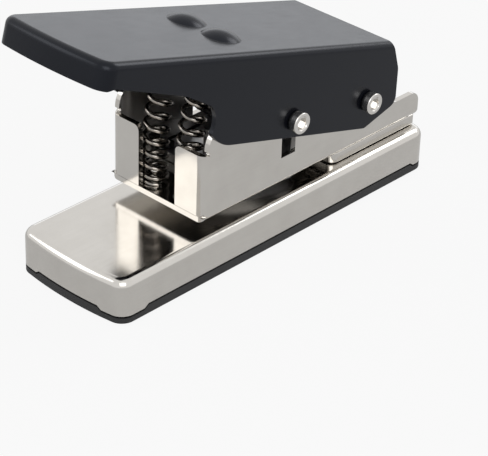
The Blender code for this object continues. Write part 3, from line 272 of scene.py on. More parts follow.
def turned(profile: Sequence[Point], steps: int, place: Triple, axis: Axis = Axis.UP) -> bmesh.types.BMesh:
    """Turn a profile about an axis.

    Args:
        profile: Points as (radius, height), from the axis to the axis or as a closed section.
        steps: Number of facets round the axis.
        place: Where the profile's zero lies.
        axis: Axis that the profile's height runs along.

    Returns:
        A closed shape.
    """
    shape = bmesh.new()
    verts = [shape.verts.new((radius, 0.0, height)) for radius, height in profile]
    edges = [shape.edges.new(pair) for pair in zip(verts, verts[1:])]
    if profile[0][0] > 0:
        edges.append(shape.edges.new((verts[-1], verts[0])))
    bmesh.ops.spin(
        shape, geom=edges, cent=(0.0, 0.0, 0.0), axis=(0.0, 0.0, 1.0), angle=FULL_TURN, steps=steps, use_merge=True
    )
    bmesh.ops.remove_doubles(shape, verts=shape.verts[:], dist=MERGE_DISTANCE)
    bmesh.ops.transform(shape, matrix=Matrix.Translation(place) @ axis.turn(), verts=shape.verts[:])
    bmesh.ops.recalc_face_normals(shape, faces=shape.faces[:])
    return shape


def rod(radius: float, low: float, high: float, steps: int, place: Triple, axis: Axis = Axis.UP) -> bmesh.types.BMesh:
    """Plain round bar between two levels on an axis."""
    return turned([(0.0, low), (radius, low), (radius, high), (0.0, high)], steps, place, axis)


EdgeTest = Callable[[Vector, Vector], bool]


def round_edges(shape: bmesh.types.BMesh, radius: float, steps: int, wanted: EdgeTest) -> bmesh.types.BMesh:
    """Round the edges of a shape that pass a test of both ends.

    Args:
        shape: Shape to change.
        radius: Radius of the rounding.
        steps: Number of facets across it.
        wanted: Test of the two ends of an edge.

    Returns:
        The same shape.
    """
    edges = [edge for edge in shape.edges if wanted(*(vert.co for vert in edge.verts))]
    bmesh.ops.bevel(shape, geom=edges, offset=radius, segments=steps, profile=0.5, affect="EDGES", material=-1)
    bmesh.ops.remove_doubles(shape, verts=shape.verts[:], dist=MERGE_DISTANCE)
    return shape


def linked(name: str, data: bpy.types.ID) -> bpy.types.Object:
    """Put a mesh, curve, lamp or camera into the scene.

    Args:
        name: Name of the object.
        data: What the object shows.

    Returns:
        The new object.
    """
    thing = bpy.data.objects.new(name, data)
    bpy.context.scene.collection.objects.link(thing)
    return thing


def settled_mesh(thing: bpy.types.Object) -> bpy.types.Mesh:
    """Work out the plain mesh of an object with all its steps.

    Args:
        thing: Object with modifiers, or a curve.

    Returns:
        The new mesh.
    """
    bpy.context.view_layer.update()
    graph = bpy.context.evaluated_depsgraph_get()
    return bpy.data.meshes.new_from_object(thing.evaluated_get(graph))


@dataclass
class Workpiece:
    """One piece while it is being made, as a bench would hold it."""

    name: str
    shape: bmesh.types.BMesh
    piece: bpy.types.Object = field(init=False)
    cutters: list[bpy.types.Object] = field(default_factory=list)

    def __post_init__(self) -> None:
        """Put the first shape into an object."""
        self.piece = self._object(self.name, self.shape)

    def _object(self, name: str, shape: bmesh.types.BMesh) -> bpy.types.Object:
        """Turn a shape into an object of the scene.

        Args:
            name: Name of the object.
            shape: Its shape, which is used up.

        Returns:
            The new object.
        """
        mesh = bpy.data.meshes.new(name)
        shape.to_mesh(mesh)
        shape.free()
        return linked(name, mesh)

    def combine(self, shape: bmesh.types.BMesh, operation: str = "DIFFERENCE") -> "Workpiece":
        """Cut, join or intersect the piece with a shape.

        Args:
            shape: The other shape, which is used up.
            operation: DIFFERENCE, UNION or INTERSECT.

        Returns:
            This workpiece.
        """
        cutter = self._object(f"{self.name}_cutter", shape)
        cutter.hide_render = True
        step = self.piece.modifiers.new("step", "BOOLEAN")
        step.operation = operation
        step.solver = "MANIFOLD"
        step.object = cutter
        self.cutters.append(cutter)
        return self

    def drill(
        self, radius: float, low: float, high: float, places: Iterable[Point], steps: int = HOLE_STEPS
    ) -> "Workpiece":
        """Cut an upright round hole at each place.

        Args:
            radius: Radius of the holes.
            low: Level that they start at.
            high: Level that they end at.
            places: Centres of the holes.
            steps: Number of facets round each hole.

        Returns:
            This workpiece.
        """
        for x, y in places:
            self.combine(rod(radius, low, high, steps, (x, y, 0.0)))
        return self

    def settle(self) -> "Workpiece":
        """Make the steps so far a plain mesh, and take the tools away.

        Returns:
            This workpiece.
        """
        mesh = settled_mesh(self.piece)
        self.piece.modifiers.clear()
        self.piece.data = mesh
        for cutter in self.cutters:
            bpy.data.objects.remove(cutter, do_unlink=True)
        self.cutters.clear()
        shape = bmesh.new()
        shape.from_mesh(mesh)
        bmesh.ops.remove_doubles(shape, verts=shape.verts[:], dist=MERGE_DISTANCE)
        bmesh.ops.dissolve_degenerate(shape, edges=shape.edges[:], dist=MERGE_DISTANCE)
        shape.to_mesh(mesh)
        shape.free()
        return self

    def soften(self, width: float, steps: int = 2, above_degrees: float = 42.0) -> "Workpiece":
        """Break the sharp edges that the cuts left.

        Args:
            width: Width of the broken edge.
            steps: Number of facets across it.
            above_degrees: Only edges that turn by more than this are broken.

        Returns:
            This workpiece.
        """
        broken = self.piece.modifiers.new("broken_edges", "BEVEL")
        broken.width = width
        broken.segments = steps
        broken.limit_method = "ANGLE"
        broken.angle_limit = math.radians(above_degrees)
        broken.miter_outer = "MITER_ARC"
        broken.harden_normals = False
        return self.settle()

    def place(self, matrix: Matrix) -> "Workpiece":
        """Move the mesh, so that the object itself stays at the origin."""
        self.piece.data.transform(matrix)
        return self

    def finish(self, look: "Finish", body: Body, node: str, smooth_degrees: float = 34.0) -> bpy.types.Object:
        """Shade the piece, dress it and hang it on its body.

        Args:
            look: Finish of the whole piece.
            body: Body that it moves with.
            node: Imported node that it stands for.
            smooth_degrees: Edges that turn by more than this stay crisp.

        Returns:
            The finished object.
        """
        mesh = self.piece.data
        look.dress(self.piece)
        mesh.shade_smooth()
        mesh.set_sharp_from_angle(angle=math.radians(smooth_degrees))
        weighted = self.piece.modifiers.new("even_shading", "WEIGHTED_NORMAL")
        weighted.keep_sharp = True
        weighted.mode = "FACE_AREA"
        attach(self.piece, body.value)
        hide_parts(node)
        LOG.info("%s: %d faces", self.name, len(mesh.polygons))
        return self.piece


# Shader trees

# Colour sockets of a Mix node, which has others of the same names
MIX_FACTOR, MIX_FIRST, MIX_SECOND, MIX_RESULT = 0, 6, 7, 2

Value = Union["Wire", float, Sequence[float], str]


@dataclass
class Wire:
    """One output of a shader node, with arithmetic that adds Math nodes."""

    tree: "ShaderTree"
    socket: bpy.types.NodeSocket

    def _math(self, operation: str, first: Value, second: Value) -> "Wire":
        """Join two values by one Math node."""
        return self.tree.node("ShaderNodeMath", {"operation": operation}, {0: first, 1: second})

    def __add__(self, other: Value) -> "Wire":
        """Sum."""
        return self._math("ADD", self, other)

    def __radd__(self, other: Value) -> "Wire":
        """Sum, the other way round."""
        return self._math("ADD", other, self)

    def __mul__(self, other: Value) -> "Wire":
        """Product."""
        return self._math("MULTIPLY", self, other)

    def __rmul__(self, other: Value) -> "Wire":
        """Product, the other way round."""
        return self._math("MULTIPLY", other, self)


class ShaderTree:
    """Node tree of one material or of the world."""

    def __init__(self, owner: Union[bpy.types.Material, bpy.types.World]) -> None:
        """Start with an empty tree.

        Args:
            owner: Material or world that the tree belongs to.
        """
        owner.use_nodes = True
        self.nodes = owner.node_tree.nodes
        self.links = owner.node_tree.links
        self.nodes.clear()

    def node(
        self,
        kind: str,
        settings: Optional[dict[str, Any]] = None,
        inputs: Optional[dict[Union[str, int], Value]] = None,
        output: Union[str, int] = 0,
    ) -> Wire:
        """Add one node.

        Args:
            kind: Type name of the node.
            settings: Values of its own properties.
            inputs: Values or wires of its sockets, by name or number.
            output: Socket that the result carries.

        Returns:
            The wanted output.
        """
        made = self.nodes.new(kind)
        for name, value in (settings or {}).items():
            setattr(made, name, value)
        for name, value in (inputs or {}).items():
            if isinstance(value, Wire):
                self.links.new(value.socket, made.inputs[name])
            else:
                made.inputs[name].default_value = value
        return Wire(self, made.outputs[output])

    def end(self, kind: str, surface: Wire) -> None:
        """Add the output node of the tree."""
        self.links.new(surface.socket, self.nodes.new(kind).inputs["Surface"])

    def step(self, value: Wire, window: Point) -> Wire:
        """Ramp a value from 0 at the window's low end to 1 at its high end."""
        return self.node("ShaderNodeMapRange", {"clamp": True}, {0: value, 1: window[0], 2: window[1]})

    @staticmethod
    def total(parts: Iterable[tuple[Wire, float]]) -> Wire:
        """Add up wires by their weights.

        Args:
            parts: Wires with their weights; those that weigh nothing are left out.

        Returns:
            The sum.
        """
        weighed = [wire * weight for wire, weight in parts if weight]
        return reduce(add, weighed)


def rgba(colour: Triple) -> tuple[float, float, float, float]:
    """Colour with full opacity."""
    return (*colour, 1.0)


@dataclass(frozen=True)
class Layer:
    """One cloud of noise on a finish, and where it shows.

    Attributes:
        scale: Features per metre.
        detail: Number of finer layers.
        stretch: How much closer the features lie along each axis.
        window: Levels that become 0 and 1, where the cloud is cut to patches.
        tone: Its part in the clouds that the finish's own window cuts.
        shade: How far it takes the colour to the finish's shade.
        gloss: What it adds to the roughness.
        relief: How far it raises the surface, in units of RELIEF_UNIT.
    """

    scale: float
    detail: float
    stretch: Triple = (1.0, 1.0, 1.0)
    window: Optional[Point] = None
    tone: float = 0.0
    shade: float = 0.0
    gloss: float = 0.0
    relief: float = 0.0

    def cloud(self, tree: ShaderTree, place: Wire) -> Wire:
        """Make the noise, cut to patches where the layer has a window.

        Args:
            tree: Tree of the material.
            place: Coordinates on the piece.

        Returns:
            The cloud, from 0 to 1.
        """
        spread = tree.node("ShaderNodeMapping", {"vector_type": "POINT"}, {"Vector": place, "Scale": self.stretch})
        sizes = {"Vector": spread, "Scale": self.scale, "Detail": self.detail}
        noise = tree.node("ShaderNodeTexNoise", None, sizes)
        return tree.step(noise, self.window) if self.window else noise


@dataclass(frozen=True)
class Finish:
    """Finish of a surface: how it shines, and the clouds that wear it.

    Attributes:
        name: Name of the material.
        slot: Material slot of the record; not used.
        colour: Its main colour.
        shade: Colour where its clouds lie.
        roughness: Its roughness before the layers change it.
        layers: Clouds of noise.
        metallic: 1 for bare metal.
        window: Levels between which the layers' tones take the colour to the shade.
        tone_share: How far those tones take it.
        specular: Strength of the reflection, where 0.5 is glass.
        tint: Colour of the reflection; where it is not white, a painted colour cast of the light that it reflects.
    """

    name: str
    slot: str
    colour: Triple
    shade: Triple
    roughness: float
    layers: tuple[Layer, ...]
    metallic: float = 0.0
    window: Optional[Point] = None
    tone_share: float = 1.0
    specular: float = 0.5
    tint: Triple = WHITE

    def material(self) -> bpy.types.Material:
        """Find the material, or make it the first time it is asked for.

        Returns:
            The material.
        """
        found = bpy.data.materials.get(self.name)
        if found is None:
            found = bpy.data.materials.new(self.name)
            found.diffuse_color = rgba(self.colour)
            self._fill(ShaderTree(found))
        return found

    def dress(self, thing: bpy.types.Object) -> None:
        """Give an object this finish, and nothing else.

        Args:
            thing: Object with a mesh.
        """
        thing.data.materials.clear()
        thing.data.materials.append(self.material())

    def _fill(self, tree: ShaderTree) -> None:
        """Build the tree of this finish.

        Args:
            tree: Empty tree of the material.
        """
        place = tree.node("ShaderNodeTexCoord", output="Object")
        clouds = [(layer, layer.cloud(tree, place)) for layer in self.layers]
        mixed = [(cloud, layer.shade) for layer, cloud in clouds]
        if self.window:
            tone = tree.total((cloud, layer.tone) for layer, cloud in clouds)
            mixed.append((tree.step(tone, self.window), self.tone_share))
        sides = {MIX_FACTOR: tree.total(mixed), MIX_FIRST: rgba(self.colour), MIX_SECOND: rgba(self.shade)}
        height = tree.total((cloud, layer.relief) for layer, cloud in clouds)
        relief = {"Height": height, "Distance": RELIEF_UNIT, "Strength": 1.0}
        surface = {
            "Base Color": tree.node("ShaderNodeMix", {"data_type": "RGBA"}, sides, MIX_RESULT),
            "Roughness": tree.total((cloud, layer.gloss) for layer, cloud in clouds) + self.roughness,
            "Metallic": self.metallic,
            "Specular IOR Level": self.specular,
            "Specular Tint": rgba(self.tint),
            "Normal": tree.node("ShaderNodeBump", None, relief),
        }
        tree.end("ShaderNodeOutputMaterial", tree.node("ShaderNodeBsdfPrincipled", None, surface))


# Finishes

# Bright plate over rolled sheet: rolling lines, a light haze and small specks
PLATE = (
    Layer(scale=260.0, detail=2.0, stretch=(0.12, 9.0, 9.0), tone=0.3, gloss=0.05, relief=0.006),
    Layer(scale=120.0, detail=4.0, tone=0.7, gloss=0.07),
    Layer(scale=2600.0, detail=1.0, window=(0.68, 0.80), shade=0.25),
)
# The sheet is a little wavy too
NICKEL = Finish(
    name="nickel_on_sheet",
    slot="nickel_plate",
    colour=(0.640, 0.618, 0.584),
    shade=(0.50, 0.475, 0.44),
    roughness=0.08,
    metallic=1.0,
    window=(0.30, 0.72),
    tone_share=0.35,
    layers=(Layer(scale=42.0, detail=1.0, relief=0.055), *PLATE),
)
BOLT_NICKEL = replace(NICKEL, name="nickel_on_bolts", colour=(0.72, 0.70, 0.67), roughness=0.11, layers=PLATE)
# Stoved satin paint: orange peel, cloudy gloss, faint rubbing and a few dust nibs
PAINT = Finish(
    name="satin_black_paint",
    slot="black_paint",
    # Its black is the paint's own; the blue cast in its colour, shade and tint is painted light, standing in for the
    # bluish lamp that its top reflects.
    colour=(0.0050, 0.0056, 0.0085),
    shade=(0.0085, 0.0092, 0.0130),
    roughness=0.175,
    specular=0.25,
    tint=(0.84, 0.89, 1.0),
    layers=(
        Layer(scale=1500.0, detail=2.0, relief=0.030),
        Layer(scale=70.0, detail=3.0, shade=0.6, gloss=0.06),
        Layer(scale=300.0, detail=4.0, stretch=(0.25, 2.0, 2.0), gloss=0.07),
        Layer(scale=900.0, detail=0.0, window=(0.80, 0.88), shade=0.4, relief=0.05),
    ),
)
# Matt moulded foot: spark-eroded grain and scuffs
RUBBER = Finish(
    name="moulded_foot",
    slot="black_foot",
    colour=(0.016, 0.016, 0.017),
    shade=(0.030, 0.030, 0.031),
    roughness=0.50,
    layers=(
        Layer(scale=3200.0, detail=3.0, shade=0.3, gloss=0.06, relief=0.10),
        Layer(scale=160.0, detail=5.0, stretch=(0.4, 1.0, 3.0), window=(0.55, 0.80), shade=0.6, gloss=0.08),
    ),
)
# Oil-tempered spring wire: dark, brighter where the oil film is thin, with streaks from drawing
WIRE_STEEL = Finish(
    name="oiled_spring_wire",
    slot="spring_wire",
    colour=(0.26, 0.245, 0.225),
    shade=(0.40, 0.36, 0.32),
    roughness=0.07,
    metallic=1.0,
    window=(0.42, 0.70),
    layers=(
        Layer(scale=420.0, detail=3.0, tone=1.0, gloss=0.10),
        Layer(scale=1800.0, detail=2.0, stretch=(1.0, 1.0, 3.0), gloss=0.05, relief=0.03),
    ),
)
# Hardened tool steel: the fine lines of surface grinding, and stains
TOOL_STEEL = Finish(
    name="ground_tool_steel",
    slot="tool_steel",
    colour=(0.52, 0.52, 0.53),
    shade=(0.40, 0.40, 0.41),
    roughness=0.25,
    metallic=1.0,
    window=(0.35, 0.70),
    layers=(
        Layer(scale=500.0, detail=3.0, stretch=(0.05, 12.0, 1.0), tone=0.4, gloss=0.12, relief=0.04),
        Layer(scale=90.0, detail=4.0, tone=0.6),
    ),
)
# Blackened steel of washers, tubes and small screws, rubbed in places
OXIDE = Finish(
    name="blackened_steel",
    slot="black_oxide",
    colour=(0.030, 0.030, 0.032),
    shade=(0.12, 0.115, 0.11),
    roughness=0.36,
    metallic=0.8,
    layers=(
        Layer(scale=700.0, detail=4.0, window=(0.56, 0.74), shade=1.0, gloss=-0.08),
        Layer(scale=4000.0, detail=2.0, gloss=0.08, relief=0.05),
    ),
)


# Sub-assemblies


@dataclass(frozen=True)
class PickShape:
    """Plan of a pick: a rounded triangle with bowed sides, tip to the front."""

    station: float
    length: float = 0.0300
    width: float = 0.0260
    tip_radius: float = 0.0032
    shoulder_radius: float = 0.0050
    top_radius: float = 0.0300
    side_radius: float = 0.0340
    end_steps: int = 8
    side_steps: int = 12

    def outline(self, grow: float = 0.0) -> list[Point]:
        """Outline of the pick, from the middle of its flat end round the left side.

        Args:
            grow: Distance that the outline is grown outwards.

        Returns:
            The outline's points.
        """
        tip = Vector((self.tip_radius - self.length / 2, 0.0))
        shoulder_y = self.width / 2 - self.shoulder_radius
        top_x = self.length / 2 - self.top_radius
        top_reach = self.top_radius - self.shoulder_radius
        shoulder = Vector((top_x + math.sqrt(top_reach**2 - shoulder_y**2), shoulder_y))
        side = self._side_centre(tip, shoulder)
        top_lean = math.atan2(shoulder.y, shoulder.x - top_x)
        shoulder_lean = math.atan2(shoulder.y - side.y, shoulder.x - side.x)
        tip_lean = math.atan2(tip.y - side.y, tip.x - side.x)
        upper = arc((top_x, 0.0), self.top_radius + grow, 0.0, top_lean, self.end_steps)
        upper += arc(tuple(shoulder), self.shoulder_radius + grow, top_lean, shoulder_lean, self.side_steps)[1:]
        upper += arc(tuple(side), self.side_radius + grow, shoulder_lean, tip_lean, self.side_steps)[1:]
        upper += arc(tuple(tip), self.tip_radius + grow, tip_lean, math.pi, self.end_steps)[1:]
        lower = [(x, -y) for x, y in reversed(upper[1:-1])]
        return [(x + self.station, y) for x, y in upper + lower]

    def _side_centre(self, tip: Vector, shoulder: Vector) -> Vector:
        """Centre of the bowed side that touches the tip and the shoulder.

        Args:
            tip: Centre of the tip's rounding.
            shoulder: Centre of the shoulder's rounding.

        Returns:
            The centre of the bow.
        """
        tip_reach = self.side_radius - self.tip_radius
        shoulder_reach = self.side_radius - self.shoulder_radius
        line = shoulder - tip
        span = line.length
        along = (tip_reach**2 - shoulder_reach**2 + span**2) / (2 * span)
        off = math.sqrt(tip_reach**2 - along**2)
        unit = line / span
        return tip + unit * along + Vector((unit.y, -unit.x)) * off


@dataclass(frozen=True)
class BaseShell:
    """Pressed cover with its lobed skirt, and the black foot that plugs into it."""

    station: float
    length: float = 0.1413
    width: float = 0.0450
    height: float = 0.0147
    front_reach: float = 0.0373
    bow_radius: float = 0.1300
    corner_radius: float = 0.0050
    edge_radius: float = 0.0030
    sheet: float = 0.0012
    lobe_bottom: float = 0.0023
    skirt_bottom: float = 0.0034
    front_lobe: float = 0.0108
    rear_lobe: float = 0.0075
    end_lobe_width: float = 0.0082
    lobe_slope: float = 0.0016
    foot_chamfer: float = 0.0003
    tray_floor: float = 0.0020
    tray_wall: float = 0.0015
    tray_plug: float = 0.0085
    window_length: float = 0.0340
    window_width: float = 0.0300
    window_radius: float = 0.0030
    lip_radius: float = 0.00035
    bow_steps: int = 12
    corner_steps: int = 14
    edge_steps: int = 9

    def _quarter(self, lobe: float) -> list[tuple[Point, float, float, float]]:
        """A quarter of the plan, from the middle of an end to the side.

        Args:
            lobe: Length of the lobe along the side.

        Returns:
            Stations as (centre, radius, angle, how far down the lobe each lies).
        """
        half_width = self.width / 2
        corner_y = half_width - self.corner_radius
        bow_x = self.length / 2 - self.bow_radius
        reach = self.bow_radius - self.corner_radius
        corner_x = bow_x + math.sqrt(reach * reach - corner_y * corner_y)
        lean = math.atan2(corner_y, corner_x - bow_x)
        end_lobe = math.asin((half_width - self.end_lobe_width) / self.bow_radius)
        end_rise = math.asin((half_width - self.end_lobe_width - self.lobe_slope) / self.bow_radius)
        side_lobe = self.length / 2 - lobe
        bow = (bow_x, 0.0)
        turns = [(end_rise * step / self.bow_steps, 0.0) for step in range(self.bow_steps + 1)]
        turns += [((end_rise + end_lobe) / 2, 0.5), (end_lobe, 1.0)]
        points = [(bow, self.bow_radius, angle, depth) for angle, depth in turns]
        for step in range(self.corner_steps + 1):
            angle = lean + (QUARTER_TURN - lean) * step / self.corner_steps
            points.append(((corner_x, corner_y), self.corner_radius, angle, 1.0))
        for depth in (1.0, 0.5, 0.0):
            place = (side_lobe - self.lobe_slope * (1 - depth), corner_y)
            points.append((place, self.corner_radius, QUARTER_TURN, depth))
        return points

    def _ring(self, inset: float, high: float, low: Optional[float] = None) -> list[Triple]:
        """Ring round the base.

        Args:
            inset: Distance inside the plan.
            high: Level of the ring.
            low: Level at the lobes, or none if it is the same.

        Returns:
            The ring's points.
        """
        low = high if low is None else low
        quarters = []
        for lobe in (self.rear_lobe, self.front_lobe):
            quarter = []
            for (x, y), radius, angle, depth in self._quarter(lobe):
                reach = radius - inset
                level = high + (low - high) * depth
                quarter.append((x + reach * math.cos(angle), y + reach * math.sin(angle), level))
            quarters.append(quarter)
        rear, front = quarters
        half = rear + [(-x, y, z) for x, y, z in reversed(front)]
        mirrored = [(x, -y, z) for x, y, z in reversed(half[1:-1])]
        middle = self.station + self.length / 2 - self.front_reach
        return [(x + middle, y, z) for x, y, z in half + mirrored]

    def _edge(self, inset: float, radius: float, top: float) -> list[list[Triple]]:
        """Rings round the edge between a wall and the face above it.

        Args:
            inset: Distance of the wall inside the plan.
            radius: Radius of the rounding.
            top: Level of the face.

        Returns:
            The rings from the wall up.
        """
        rings = []
        for step in range(self.edge_steps + 1):
            angle = QUARTER_TURN * step / self.edge_steps
            level = top - radius * (1 - math.sin(angle))
            rings.append(self._ring(inset + radius * (1 - math.cos(angle)), level))
        return rings

    def cover(self, pick: PickShape, seats: Sequence[Point], holes: Sequence[Point]) -> bpy.types.Object:
        """Build the pressed cover.

        Args:
            pick: Shape of the window over the die.
            seats: Places of the countersunk screws.
            holes: Places of the rivets.

        Returns:
            The cover.
        """
        ceiling = self.height - self.sheet
        lip = self.lip_radius
        rings = [
            *reversed(self._edge(self.sheet, self.edge_radius - self.sheet, ceiling)),
            self._ring(self.sheet, self.skirt_bottom + lip, self.lobe_bottom + lip),
            self._ring(self.sheet - lip, self.skirt_bottom, self.lobe_bottom),
            self._ring(lip, self.skirt_bottom, self.lobe_bottom),
            self._ring(0.0, self.skirt_bottom + lip, self.lobe_bottom + lip),
            *self._edge(0.0, self.edge_radius, self.height),
        ]
        work = Workpiece("base_cover_shell", lofted(rings))
        low, high = ceiling - OVERRUN, self.height + OVERRUN
        work.combine(prism(pick.outline(DIE.cover_gap), low, high))
        work.drill(STACK.rivet_radius + HOLE_GAP, low, high, holes)
        for x, y in seats:
            work.combine(DIE.seat_cutter((x, y, 0.0), ceiling, self.height))
        return work.settle().finish(NICKEL, Body.BASE, "base_cover")

    def foot(self) -> bpy.types.Object:
        """Build the moulded foot with its drop window.

        Returns:
            The foot.
        """
        rim_low = self.lobe_bottom - SEAT_GAP
        rim_high = self.skirt_bottom - SEAT_GAP
        outside = self.sheet + SEAT_GAP
        inside = outside + self.tray_wall
        rings = [
            self._ring(self.foot_chamfer, 0.0),
            self._ring(0.0, self.foot_chamfer),
            self._ring(0.0, rim_high, rim_low),
            self._ring(outside, rim_high, rim_low),
            self._ring(outside, self.tray_plug),
            self._ring(inside, self.tray_plug),
            self._ring(inside, self.tray_floor),
        ]
        work = Workpiece("foot_tray_moulding", lofted(rings))
        middle = self.station + PUNCH_STATION
        half = self.window_length / 2
        window = rectangle(middle - half, middle + half, self.window_width / 2, self.window_radius)
        work.combine(prism(window, -OVERRUN, self.tray_floor + OVERRUN)).settle()
        return work.finish(RUBBER, Body.BASE, "foot_tray")


@dataclass(frozen=True)
class DieSet:
    """Die plate under the cover and the screws that hold it."""

    end_margin: float = 0.0075
    width: float = 0.0380
    screw_inset_x: float = 0.0036
    screw_inset_y: float = 0.0080
    screw_radius: float = 0.0013
    head_radius: float = 0.0022
    cover_gap: float = 0.0008
    seat_steps: int = 28

    def screw_places(self, pick: PickShape) -> list[Point]:
        """Centres of the four screws."""
        half = pick.length / 2 + self.end_margin - self.screw_inset_x
        return four_corners(pick.station, half, self.width / 2 - self.screw_inset_y)

    def seat_cutter(self, place: Triple, ceiling: float, top: float) -> bmesh.types.BMesh:
        """Shape of the metal missing at a countersunk hole through the cover.

        Args:
            place: Centre of the hole.
            ceiling: Level of the cover's underside.
            top: Level of its top side.

        Returns:
            A closed shape.
        """
        neck = self.screw_radius + HOLE_GAP
        head = self.head_radius + HOLE_GAP
        profile = [
            (0.0, ceiling - OVERRUN),
            (neck, ceiling - OVERRUN),
            (neck, ceiling),
            (head, top),
            (head, top + OVERRUN),
            (0.0, top + OVERRUN),
        ]
        return turned(profile, self.seat_steps, place)


@dataclass(frozen=True)
class RearStack:
    """Spacer between frame and base, and the rivets through all three."""

    width: float = 0.0364
    corner_radius: float = 0.0030
    rear_radius: float = 0.0012
    edge_radius: float = 0.00045
    nose: float = 0.0040
    rear: float = 0.1008
    spacing: float = 0.0200
    rivet_rear: float = 0.0915
    rivet_front: float = 0.0640
    rivet_radius: float = 0.0016
    head_radius: float = 0.0030
    head_height: float = 0.0014
    edge_steps: int = 4
    rim_steps: int = 3
    crown_steps: int = 8
    rivet_steps: int = 36

    def places(self, station: float) -> list[Point]:
        """Centres of the four rivets."""
        middle = station + (self.rivet_front + self.rivet_rear) / 2
        return four_corners(middle, (self.rivet_rear - self.rivet_front) / 2, self.spacing / 2)

    def spacer(self, station: float, low: float, high: float) -> bpy.types.Object:
        """Build the spacer plate with its worn edges.

        Args:
            station: Front face of the frame.
            low: Level of its underside.
            high: Level of its top side.

        Returns:
            The plate.
        """
        front = station + self.rivet_front - self.nose
        rear = station + self.rear
        half = self.width / 2
        plan = rounded(
            [
                (front, -half, self.corner_radius),
                (rear, -half, self.rear_radius),
                (rear, half, self.rear_radius),
                (front, half, self.corner_radius),
            ]
        )
        plate = prism(plan, low, high)
        round_edges(plate, self.edge_radius, self.edge_steps, lambda a, b: abs(a.z - b.z) < SEAT_GAP)
        work = Workpiece("rear_spacer_plate", plate)
        work.drill(self.rivet_radius + HOLE_GAP, low - OVERRUN, high + OVERRUN, self.places(station))
        return work.settle().finish(NICKEL, Body.BASE, "rear_spacer")

    def rivets(self, station: float, low: float, high: float) -> None:
        """Build the rivets, domed above and flat below.

        Args:
            station: Front face of the frame.
            low: Level of the underside that the lower heads press on.
            high: Level of the top side that the upper heads press on.
        """
        crown = arc((0.0, 0.0), 1.0, 0.0, QUARTER_TURN, self.crown_steps)[:-1]
        dome = [(self.head_radius * a, high + self.head_height * b) for a, b in crown]
        rim = (self.head_radius - SEAT_GAP, low - self.head_height + SEAT_GAP)
        profile = [
            (0.0, low - self.head_height),
            *arc(rim, SEAT_GAP, -QUARTER_TURN, 0.0, self.rim_steps),
            (self.head_radius, low),
            (self.rivet_radius, low),
            (self.rivet_radius, high),
            *dome,
            (0.0, high + self.head_height),
        ]
        for index, (x, y) in enumerate(self.places(station), start=1):
            work = Workpiece(f"rivet_{index}", turned(profile, self.rivet_steps, (x, y, 0.0)))
            work.finish(BOLT_NICKEL, Body.BASE, f"frame_rivet_{index}")


